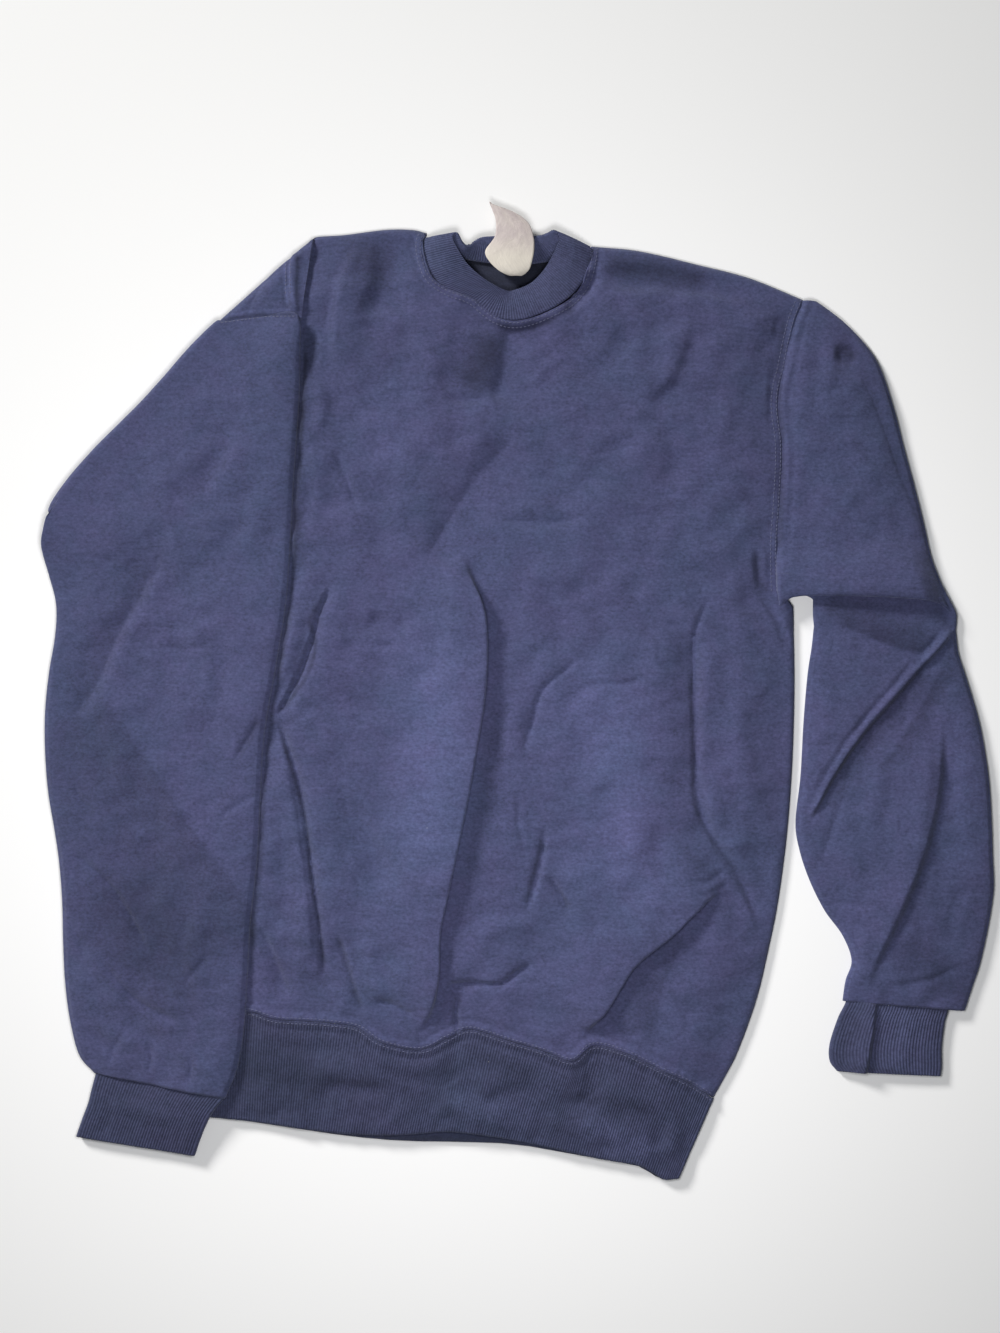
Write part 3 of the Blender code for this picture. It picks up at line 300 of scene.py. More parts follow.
def ripple(points: np.ndarray, size: float, seed: float) -> np.ndarray:
    """Smooth unevenness from -1 to 1 at points in plan.

    Args:
        points: points in plan, one a row.
        size: width of its swells.
        seed: which unevenness of that size.

    Returns:
        One value for each point.
    """
    return np.array([noise.noise(Vector((x / size, y / size, seed))) for x, y in points])


def relaxed(grid: np.ndarray, rounds: int) -> np.ndarray:
    """A grid of points in plan whose inner points are evened out, its border kept."""
    grid = grid.copy()
    for _ in range(rounds):
        grid[1:-1, 1:-1] = 0.25 * (grid[:-2, 1:-1] + grid[2:, 1:-1] + grid[1:-1, :-2] + grid[1:-1, 2:])
    return grid


def seam_relief(points: np.ndarray, line: np.ndarray, seed: float) -> np.ndarray:
    """The padded ridge beside a seam, with the short puckers that the stitches pull.

    Args:
        points: points in plan, one a row.
        line: the seam in plan.
        seed: which puckers.

    Returns:
        The height to add at each point.
    """
    heights = np.zeros(len(points))
    low, high = line.min(axis=0) - 16.0, line.max(axis=0) + 16.0
    near = np.nonzero(((points > low) & (points < high)).all(axis=1))[0]
    if not len(near):
        return heights
    away, share, _ = from_line(points[near], line)
    away = np.abs(away)
    length = np.linalg.norm(np.diff(line, axis=0), axis=1).sum()
    pull = np.array([noise.noise(Vector((s * length / 4.2, seed, 0.0))) for s in share])
    ridge = 0.55 * np.exp(-((away - 2.8) / 1.9) ** 2) * (1.0 + 0.35 * pull)
    dip = -0.8 * np.exp(-((away - 6.8) / 2.4) ** 2)
    pucker = 0.75 * pull * np.exp(-away / 6.0) * smooth_step(away / 3.0)
    heights[near] = ridge + dip + pucker
    return heights


class HeightMap:
    """The top of what lies under a piece, as a map of heights in plan."""

    CELL = 2.5
    HALF = 390.0

    def __init__(self) -> None:
        """Starts with the bare surface."""
        count = int(2.0 * self.HALF / self.CELL) + 1
        self.z = np.zeros((count, count))

    def add(self, points: np.ndarray) -> None:
        """Raises the map to points in space."""
        cell = np.round((points[:, :2] + self.HALF) / self.CELL).astype(int)
        np.maximum.at(self.z, (cell[:, 1], cell[:, 0]), points[:, 2])

    def tent(self, slope: float, reach: float) -> None:
        """Lets each height fall off around it at a slope, as taut cloth bridges a step."""
        for _ in range(int(reach / self.CELL)):
            for axis in (0, 1):
                for step in (-1, 1):
                    self.z = np.maximum(self.z, np.roll(self.z, step, axis) - slope * self.CELL)

    def soften(self, rounds: int) -> None:
        """Eases the steps in the map."""
        for _ in range(rounds):
            for axis in (0, 1):
                self.z = 0.5 * self.z + 0.25 * (np.roll(self.z, 1, axis) + np.roll(self.z, -1, axis))

    def at(self, points: np.ndarray) -> np.ndarray:
        """Heights at points in plan."""
        place = (points + self.HALF) / self.CELL
        cell = np.clip(np.floor(place).astype(int), 0, len(self.z) - 2)
        fx, fy = (place - cell).T
        x, y = cell.T
        low = self.z[y, x] * (1 - fx) + self.z[y, x + 1] * fx
        high = self.z[y + 1, x] * (1 - fx) + self.z[y + 1, x + 1] * fx
        return low * (1 - fy) + high * fy


def normals_of(grid: np.ndarray, closed: bool) -> np.ndarray:
    """Unit normals of a grid of points, above it where rows go up and columns to the right."""
    if closed:
        across = np.roll(grid, -1, axis=1) - np.roll(grid, 1, axis=1)
    else:
        across = np.gradient(grid, axis=1)
    along = np.gradient(grid, axis=0)
    normal = np.cross(across, along)
    return normal / np.maximum(np.linalg.norm(normal, axis=2, keepdims=True), 1e-9)


def new_piece(name: str, points: np.ndarray, faces: list[list[int]]) -> bpy.types.Object:
    """Makes a smooth piece and links it at the origin.

    Args:
        name: of the piece and of its mesh.
        points: its corners, in millimetres.
        faces: the numbers of each face's corners.

    Returns:
        The piece.
    """
    mesh = bpy.data.meshes.new(name)
    mesh.from_pydata((points * MM).tolist(), [], faces)
    mesh.shade_smooth()
    piece = bpy.data.objects.new(name, mesh)
    bpy.context.scene.collection.objects.link(piece)
    return piece


def add_values(mesh: bpy.types.Mesh, name: str, values: np.ndarray) -> None:
    """Stores one value for each point of a mesh."""
    mesh.attributes.new(name, "FLOAT", "POINT").data.foreach_set("value", values.astype(np.float32))


@dataclass
class Shell:
    """A closed thin wall of cloth: a fine outer skin, a coarser inner one and their rims.

    Attributes:
        name: of the finished piece.
        grid: points of the outer skin in millimetres, rows by columns.
        thickness: of the cloth.
        closed: whether the last column joins the first.
        downward: whether the rows go down the garment.
        coarse: the inner skin has every so many of the outer rows and columns.
        rib: 1 on the ribs and -1 between them, for each column.
        panel: whether its map is its plan, as for a piece that lies open and flat.
    """

    name: str
    grid: np.ndarray
    thickness: float
    closed: bool = False
    downward: bool = False
    coarse: int = 3
    rib: np.ndarray | None = None
    panel: bool = False

    def cloth_map(self) -> np.ndarray:
        """Distances along the cloth, in metres, for each point and one column more if closed."""
        wide = np.concatenate([self.grid, self.grid[:, :1]], axis=1) if self.closed else self.grid
        if self.panel:
            return wide[..., :2] * MM
        across = np.linalg.norm(np.diff(wide, axis=1), axis=2)
        along = np.linalg.norm(np.diff(wide, axis=0), axis=2)
        u = np.concatenate([np.zeros((len(wide), 1)), np.cumsum(across, axis=1)], axis=1)
        u -= u[:, wide.shape[1] // 3][:, None]
        v = np.concatenate([np.zeros((1, wide.shape[1])), np.cumsum(along, axis=0)], axis=0)
        return np.stack([u, v], axis=-1) * MM

    def build(self) -> bpy.types.Object:
        """Makes the mesh with its UV map, and links its object at the origin."""
        rows, columns = self.grid.shape[:2]
        k = self.coarse
        if (rows - 1) % k or (columns if self.closed else columns - 1) % k:
            raise ValueError(f"{self.name}: {rows} x {columns} points don't suit {k}")
        turn = -1.0 if self.downward else 1.0
        normal = normals_of(self.grid, self.closed) * turn
        inner = (self.grid - normal * self.thickness)[::k, ::k]
        uv = self.cloth_map()
        shape = self.grid.shape[:2]
        outer_id = np.arange(shape[0] * shape[1]).reshape(shape)
        inner_id = np.arange(inner.shape[0] * inner.shape[1]).reshape(inner.shape[:2]) + outer_id.size
        inner_uv = uv[::k, ::k]
        if self.closed:
            outer_id = np.concatenate([outer_id, outer_id[:, :1]], axis=1)
            inner_id = np.concatenate([inner_id, inner_id[:, :1]], axis=1)
        faces: list[list[int]] = []
        corners: list[np.ndarray] = []
        for ids, places, flip in ((outer_id, uv, False), (inner_id, inner_uv, True)):
            quads = np.stack([ids[:-1, :-1], ids[:-1, 1:], ids[1:, 1:], ids[1:, :-1]], axis=-1)
            spots = np.stack([places[:-1, :-1], places[:-1, 1:], places[1:, 1:], places[1:, :-1]],
                             axis=2)
            if flip != self.downward:
                quads, spots = quads[..., ::-1], spots[..., ::-1, :]
            faces += quads.reshape(-1, 4).tolist()
            corners.append(spots.reshape(-1, 2))
        rims = [(0, slice(None), True), (rows - 1, slice(None), False)]
        if not self.closed:
            rims += [(slice(None), 0, False), (slice(None), columns - 1, True)]
        for i, j, flip in rims:
            fine, rough = outer_id[i, j], inner_id[i // k if isinstance(i, int) else i,
                                                   j // k if isinstance(j, int) else j]
            fine_uv = uv[i, j]
            for n in range(len(rough) - 1):
                ring = [rough[n + 1], rough[n], *fine[n * k:(n + 1) * k + 1]]
                spot = np.vstack([fine_uv[(n + 1) * k], fine_uv[n * k],
                                  fine_uv[n * k:(n + 1) * k + 1]])
                if flip != self.downward:
                    ring, spot = ring[::-1], spot[::-1]
                faces.append([int(x) for x in ring])
                corners.append(spot)
        points = np.vstack([self.grid.reshape(-1, 3), inner.reshape(-1, 3)])
        # painted light and shade for each point, which the knit finishes multiply into the colour
        fuzz_and_painted_shading, _ = relief(points[:, :2], PAINTED_LIGHT_AND_SHADE)
        points[:, :2] += CENTRE_SHIFT
        piece = new_piece(self.name, points, faces)
        mesh = piece.data
        layer = mesh.uv_layers.new(name="cloth")
        layer.data.foreach_set("uv", np.vstack(corners).astype(np.float32).ravel())
        if self.rib is not None:
            ribs = np.zeros(len(points))
            ribs[:self.grid.shape[0] * columns] = np.tile(self.rib, rows)
            add_values(mesh, "rib", ribs)
        add_values(mesh, "fuzz_and_painted_shading", fuzz_and_painted_shading)
        mesh.update()
        return piece


class Nodes:
    """Adds the nodes of one tree and joins them."""

    def __init__(self, tree: bpy.types.NodeTree) -> None:
        """Starts on an empty tree."""
        self.tree = tree
        tree.nodes.clear()

    def set(self, socket: bpy.types.NodeSocket, value: object) -> None:
        """Joins a socket to another, or gives it a constant."""
        if isinstance(value, bpy.types.NodeSocket):
            self.tree.links.new(value, socket)
        else:
            socket.default_value = value

    def add(self, kind: str, inputs: dict | None = None, **facts: object) -> bpy.types.Node:
        """Adds a node.

        Args:
            kind: its type, such as "ShaderNodeMath".
            inputs: sockets or constants for its inputs, by name or number.
            facts: its properties.

        Returns:
            The node.
        """
        node = self.tree.nodes.new(kind)
        for name, value in facts.items():
            setattr(node, name, value)
        for name, value in (inputs or {}).items():
            self.set(node.inputs[name], value)
        return node

    def math(self, operation: str, first: object, second: object = 0.0) -> bpy.types.NodeSocket:
        """Adds a Math node and returns what it puts out."""
        return self.add("ShaderNodeMath", {0: first, 1: second}, operation=operation).outputs[0]

    def noise(self, vector: object, size: float, detail: float = 2.0, rough: float = 0.5,
              seed: float = 0.0) -> bpy.types.NodeSocket:
        """Adds 4-D noise whose swells are about "size" metres wide."""
        node = self.add("ShaderNodeTexNoise", {"Vector": vector, "W": seed, "Scale": 1.0 / size,
                                               "Detail": detail, "Roughness": rough},
                        noise_dimensions="4D")
        return node.outputs["Fac"]

    def stretch(self, vector: object, factors: tuple[float, float, float]) -> bpy.types.NodeSocket:
        """Scales a vector along each axis."""
        return self.add("ShaderNodeVectorMath", {0: vector, 1: factors}, operation="MULTIPLY").outputs[0]

    def span(self, value: object, low: float, high: float, to_low: float,
             to_high: float) -> bpy.types.NodeSocket:
        """Maps a range of values to another, clamped."""
        return self.add("ShaderNodeMapRange", {"Value": value, "From Min": low, "From Max": high,
                                               "To Min": to_low, "To Max": to_high}).outputs["Result"]

    def blend(self, share: object, first: object, second: object,
              blend_type: str = "MIX") -> bpy.types.NodeSocket:
        """Mixes two colours."""
        node = self.add("ShaderNodeMix", data_type="RGBA", blend_type=blend_type)
        for socket, value in zip((0, 6, 7), (share, first, second)):    # factor and two colours
            self.set(node.inputs[socket], value)
        return node.outputs[2]

    def shade(self, colour: object, level: object) -> bpy.types.NodeSocket:
        """Multiplies a colour by a grey level, which may be over 1."""
        grey = self.add("ShaderNodeCombineXYZ", {0: level, 1: level, 2: level}).outputs[0]
        return self.blend(1.0, colour, grey, "MULTIPLY")


def new_material(name: str) -> tuple[bpy.types.Material, Nodes]:
    """Starts a material and gives the maker of its nodes."""
    finish = bpy.data.materials.new(name)
    finish.use_nodes = True
    return finish, Nodes(finish.node_tree)


def node_group(name: str, inputs: dict[str, tuple[str, object]],
               outputs: dict[str, str]) -> tuple[bpy.types.NodeTree, Nodes, bpy.types.Node, bpy.types.Node]:
    """Starts a shader node group.

    Args:
        name: of the group.
        inputs: kind and default of each input, by name.
        outputs: kind of each output, by name.

    Returns:
        The group, its nodes' maker, its input node and its output node.
    """
    group = bpy.data.node_groups.new(name, "ShaderNodeTree")
    for label, (kind, value) in inputs.items():
        socket = group.interface.new_socket(name=label, in_out="INPUT", socket_type=f"NodeSocket{kind}")
        if value is not None:
            socket.default_value = value
    for label, kind in outputs.items():
        group.interface.new_socket(name=label, in_out="OUTPUT", socket_type=f"NodeSocket{kind}")
    nodes = Nodes(group)
    return group, nodes, nodes.add("NodeGroupInput"), nodes.add("NodeGroupOutput")


def jersey_group() -> bpy.types.NodeTree:
    """Columns of knitted V's. It puts out their height."""
    group, nodes, take, give = node_group(
        "jersey_stitches",
        {"Vector": ("Vector", None), "Wale": ("Float", 900.0), "Course": ("Float", 1100.0)},
        {"Height": "Float"})
    place = nodes.add("ShaderNodeSeparateXYZ", {0: take.outputs["Vector"]})
    wale = nodes.math("MULTIPLY", place.outputs["X"], take.outputs["Wale"])
    leg = nodes.math("ABSOLUTE", nodes.math("SUBTRACT", nodes.math("FRACT", wale), 0.5))
    rise = nodes.math("ADD", nodes.math("MULTIPLY", place.outputs["Y"], take.outputs["Course"]), leg)
    loops = nodes.math("SINE", nodes.math("MULTIPLY", rise, 2.0 * math.pi))
    legs = nodes.math("COSINE", nodes.math("MULTIPLY", wale, 4.0 * math.pi))
    bulge = nodes.math("SUBTRACT", 1.0, nodes.math("MULTIPLY", legs, 0.5))
    nodes.set(give.inputs["Height"], nodes.math("MULTIPLY", bulge, nodes.math("ADD", loops, 1.0)))
    return group


def heather_group() -> bpy.types.NodeTree:
    """Yarn of two tones, streaky and patchy. It puts out the colour and the grain."""
    group, nodes, take, give = node_group(
        "heathered_yarn",
        {"Vector": ("Vector", None), "Place": ("Vector", None), "First": ("Color", (0.07, 0.07, 0.15, 1.0)),
         "Second": ("Color", (0.06, 0.08, 0.14, 1.0)), "Grain": ("Float", 1.0), "Patch": ("Float", 1.0)},
        {"Color": "Color", "Grain": "Float"})
    flat, place = take.outputs["Vector"], take.outputs["Place"]
    patch = nodes.noise(place, 0.075, 2.0, 0.5, 3.0)
    mottle = nodes.noise(place, 0.011, 2.0, 0.6, 5.0)
    share = nodes.math("ADD", nodes.span(patch, 0.35, 0.65, 0.0, 0.7),
                       nodes.span(mottle, 0.3, 0.7, -0.15, 0.35))
    share = nodes.math("MULTIPLY", share, take.outputs["Patch"])
    tone = nodes.blend(share, take.outputs["First"], take.outputs["Second"])
    fine = nodes.noise(nodes.stretch(flat, (0.7, 1.0, 1.0)), 0.0017, 2.0, 0.65, 7.0)
    streak = nodes.noise(nodes.stretch(flat, (0.16, 1.0, 1.0)), 0.0024, 2.0, 0.55, 9.0)
    grain = nodes.math("ADD", nodes.span(fine, 0.28, 0.72, -1.0, 1.0),
                       nodes.math("MULTIPLY", nodes.span(streak, 0.3, 0.7, -1.0, 1.0), 0.25))
    worn = nodes.span(nodes.noise(place, 0.012, 3.0, 0.65, 11.0), 0.3, 0.7, -0.07, 0.07)
    level = nodes.math("ADD", nodes.math("MULTIPLY", grain, take.outputs["Grain"]), worn)
    level = nodes.math("ADD", level, 1.0)
    nodes.set(give.inputs["Color"], nodes.shade(tone, level))
    nodes.set(give.inputs["Grain"], grain)
    return group


def lint_group() -> bpy.types.NodeTree:
    """Sparse specks of pale lint. It puts out a mask."""
    group, nodes, take, give = node_group(
        "lint_specks", {"Place": ("Vector", None), "Amount": ("Float", 0.2), "Size": ("Float", 0.022)},
        {"Mask": "Float"})
    bent = nodes.noise(take.outputs["Place"], 0.002, 1.0, 0.5, 21.0)
    cells = nodes.add("ShaderNodeTexVoronoi", {"Vector": take.outputs["Place"], "Scale": 42.0})
    chance = nodes.add("ShaderNodeSeparateColor", {0: cells.outputs["Color"]}).outputs[0]
    chosen = nodes.math("LESS_THAN", chance, take.outputs["Amount"])
    reach = nodes.math("MULTIPLY", take.outputs["Size"], nodes.math("ADD", bent, 0.3))
    spot = nodes.math("LESS_THAN", cells.outputs["Distance"], reach)
    nodes.set(give.inputs["Mask"], nodes.math("MULTIPLY", chosen, spot))
    return group


class Effects:
    """The node groups that the finishes share, made once."""

    def __init__(self) -> None:
        """Makes the groups."""
        self.jersey = jersey_group()
        self.heather = heather_group()
        self.lint = lint_group()


@dataclass(frozen=True)
class KnitFinish:
    """Heathered navy knit, brushed or ribbed.

    Attributes:
        name: of the material.
        first: its main colour.
        second: the colour of its cooler patches.
        grain: contrast of the yarn's grain.
        wale: columns of stitches a metre.
        course: rows of stitches a metre.
        relief: height of the stitches, in metres.
        fuzz: height of its brushed fuzz, in metres.
        rib_painted_shade: painted shade that darkens the valleys between its ribs by this share, with a
            painted highlight on the ribs at 0.4 of it.
        lint: share of its cells that hold a speck.
        lint_cover: how much of the cloth a speck hides.
        lint_colour: of the specks.
    """

    name: str
    first: tuple[float, float, float] = (0.0710, 0.0735, 0.165)
    second: tuple[float, float, float] = (0.0600, 0.0740, 0.156)
    grain: float = 0.28
    wale: float = 900.0
    course: float = 1150.0
    relief: float = 0.00010
    fuzz: float = 0.00035
    rib_painted_shade: float = 0.0
    lint: float = 0.16
    lint_cover: float = 0.5
    lint_colour: tuple[float, float, float] = (0.42, 0.42, 0.45)

    def build(self, effects: Effects) -> bpy.types.Material:
        """Makes the material."""
        finish, nodes = new_material(self.name)
        flat = nodes.add("ShaderNodeUVMap", uv_map="cloth").outputs[0]
        place = nodes.add("ShaderNodeTexCoord").outputs["Object"]
        yarn = nodes.add("ShaderNodeGroup", node_tree=effects.heather)
        for name, value in (("Vector", flat), ("Place", place), ("First", (*self.first, 1.0)),
                            ("Second", (*self.second, 1.0)), ("Grain", self.grain)):
            nodes.set(yarn.inputs[name], value)
        # painted light and shade: each point's stored value brightens the colour, or darkens it if minus
        fuzz_and_painted_shading = nodes.math("ADD", nodes.add("ShaderNodeAttribute", attribute_name="fuzz_and_painted_shading").outputs["Fac"], 1.0)
        colour = nodes.shade(yarn.outputs["Color"], fuzz_and_painted_shading)
        # painted shade in the valleys between the ribs and a painted highlight on their crests
        if self.rib_painted_shade:
            rib = nodes.add("ShaderNodeAttribute", attribute_name="rib").outputs["Fac"]
            level = nodes.span(rib, -1.0, 1.0, 1.0 - self.rib_painted_shade, 1.0 + 0.4 * self.rib_painted_shade)
            colour = nodes.shade(colour, level)
        lint = nodes.add("ShaderNodeGroup", node_tree=effects.lint)
        nodes.set(lint.inputs["Place"], place)
        nodes.set(lint.inputs["Amount"], self.lint)
        cover = nodes.math("MULTIPLY", lint.outputs["Mask"], self.lint_cover)
        colour = nodes.blend(cover, colour, (*self.lint_colour, 1.0))
        loops = nodes.add("ShaderNodeGroup", node_tree=effects.jersey)
        for name, value in (("Vector", flat), ("Wale", self.wale), ("Course", self.course)):
            nodes.set(loops.inputs[name], value)
        # the brushed fuzz, which only bumps the surface
        fuzz_and_painted_shading = nodes.noise(nodes.stretch(flat, (0.8, 1.0, 1.0)), 0.0032, 3.0, 0.6, 13.0)
        height = nodes.math("ADD", nodes.math("MULTIPLY", loops.outputs["Height"], self.relief),
                            nodes.math("MULTIPLY", fuzz_and_painted_shading, self.fuzz))
        bump = nodes.add("ShaderNodeBump", {"Strength": 0.8, "Distance": 1.0, "Height": height})
        rough = nodes.span(yarn.outputs["Grain"], -1.5, 1.5, 0.86, 0.98)
        shader = nodes.add("ShaderNodeBsdfPrincipled", {
            "Base Color": colour, "Roughness": rough, "Normal": bump.outputs[0], "Specular IOR Level": 0.22,
            "Sheen Weight": 0.22, "Sheen Roughness": 0.45, "Sheen Tint": (0.72, 0.78, 1.0, 1.0)})
        nodes.add("ShaderNodeOutputMaterial", {"Surface": shader.outputs[0]})
        return finish


@dataclass(frozen=True)
class SatinFinish:
    """Woven satin ribbon: cream, and greyer towards the top of the garment."""

    name: str = "label_satin"
    cream: tuple[float, float, float] = (0.72, 0.665, 0.585)
    grey: tuple[float, float, float] = (0.50, 0.43, 0.43)
    grey_from: float = 0.322    # place along the garment, in metres, where the grey starts
    grey_to: float = 0.338      # and where it is full
    weave: float = 0.0005       # from one thread to the next but one, in metres
    relief: float = 0.00003

    def build(self) -> bpy.types.Material:
        """Makes the material."""
        finish, nodes = new_material(self.name)
        flat = nodes.add("ShaderNodeUVMap", uv_map="cloth").outputs[0]
        place = nodes.add("ShaderNodeSeparateXYZ", {0: nodes.add("ShaderNodeTexCoord").outputs["Object"]})
        upper = nodes.span(place.outputs["Y"], self.grey_from, self.grey_to, 0.0, 1.0)
        cloud = nodes.noise(flat, 0.006, 3.0, 0.6, 2.0)
        share = nodes.math("MULTIPLY", upper, nodes.span(cloud, 0.3, 0.7, 0.6, 1.0))
        colour = nodes.blend(share, (*self.cream, 1.0), (*self.grey, 1.0))
        thread = nodes.noise(nodes.stretch(flat, (1.0, 0.2, 1.0)), 0.0009, 2.0, 0.6, 4.0)
        level = nodes.span(thread, 0.3, 0.7, 0.94, 1.06)
        colour = nodes.shade(colour, level)
        axes = nodes.add("ShaderNodeSeparateXYZ", {0: flat})
        turns = 2.0 * math.pi / self.weave
        warp = nodes.math("SINE", nodes.math("MULTIPLY", axes.outputs["X"], turns))
        weft = nodes.math("SINE", nodes.math("MULTIPLY", axes.outputs["Y"], turns))
        height = nodes.math("MULTIPLY", nodes.math("MULTIPLY", warp, weft), self.relief)
        height = nodes.math("ADD", height, nodes.math("MULTIPLY", cloud, 0.0008))
        bump = nodes.add("ShaderNodeBump", {"Strength": 0.7, "Distance": 1.0, "Height": height})
        shader = nodes.add("ShaderNodeBsdfPrincipled", {
            "Base Color": colour, "Roughness": nodes.span(cloud, 0.3, 0.7, 0.5, 0.62),
            "Normal": bump.outputs[0], "Sheen Weight": 0.1})
        nodes.add("ShaderNodeOutputMaterial", {"Surface": shader.outputs[0]})
        return finish


@dataclass(frozen=True)
class ThreadFinish:
    """Twisted sewing thread."""

    name: str = "sewing_thread"
    colour: tuple[float, float, float] = (0.092, 0.100, 0.190)

    def build(self) -> bpy.types.Material:
        """Makes the material."""
        finish, nodes = new_material(self.name)
        place = nodes.add("ShaderNodeTexCoord").outputs["Object"]
        fibre = nodes.noise(place, 0.0006, 2.0, 0.6, 6.0)
        level = nodes.span(fibre, 0.3, 0.7, 0.8, 1.2)
        colour = nodes.shade((*self.colour, 1.0), level)
        bump = nodes.add("ShaderNodeBump", {"Strength": 0.5, "Distance": 1.0,
                                            "Height": nodes.math("MULTIPLY", fibre, 0.0002)})
        shader = nodes.add("ShaderNodeBsdfPrincipled", {
            "Base Color": colour, "Roughness": nodes.span(fibre, 0.3, 0.7, 0.55, 0.7),
            "Normal": bump.outputs[0], "Sheen Weight": 0.2})
        nodes.add("ShaderNodeOutputMaterial", {"Surface": shader.outputs[0]})
        return finish


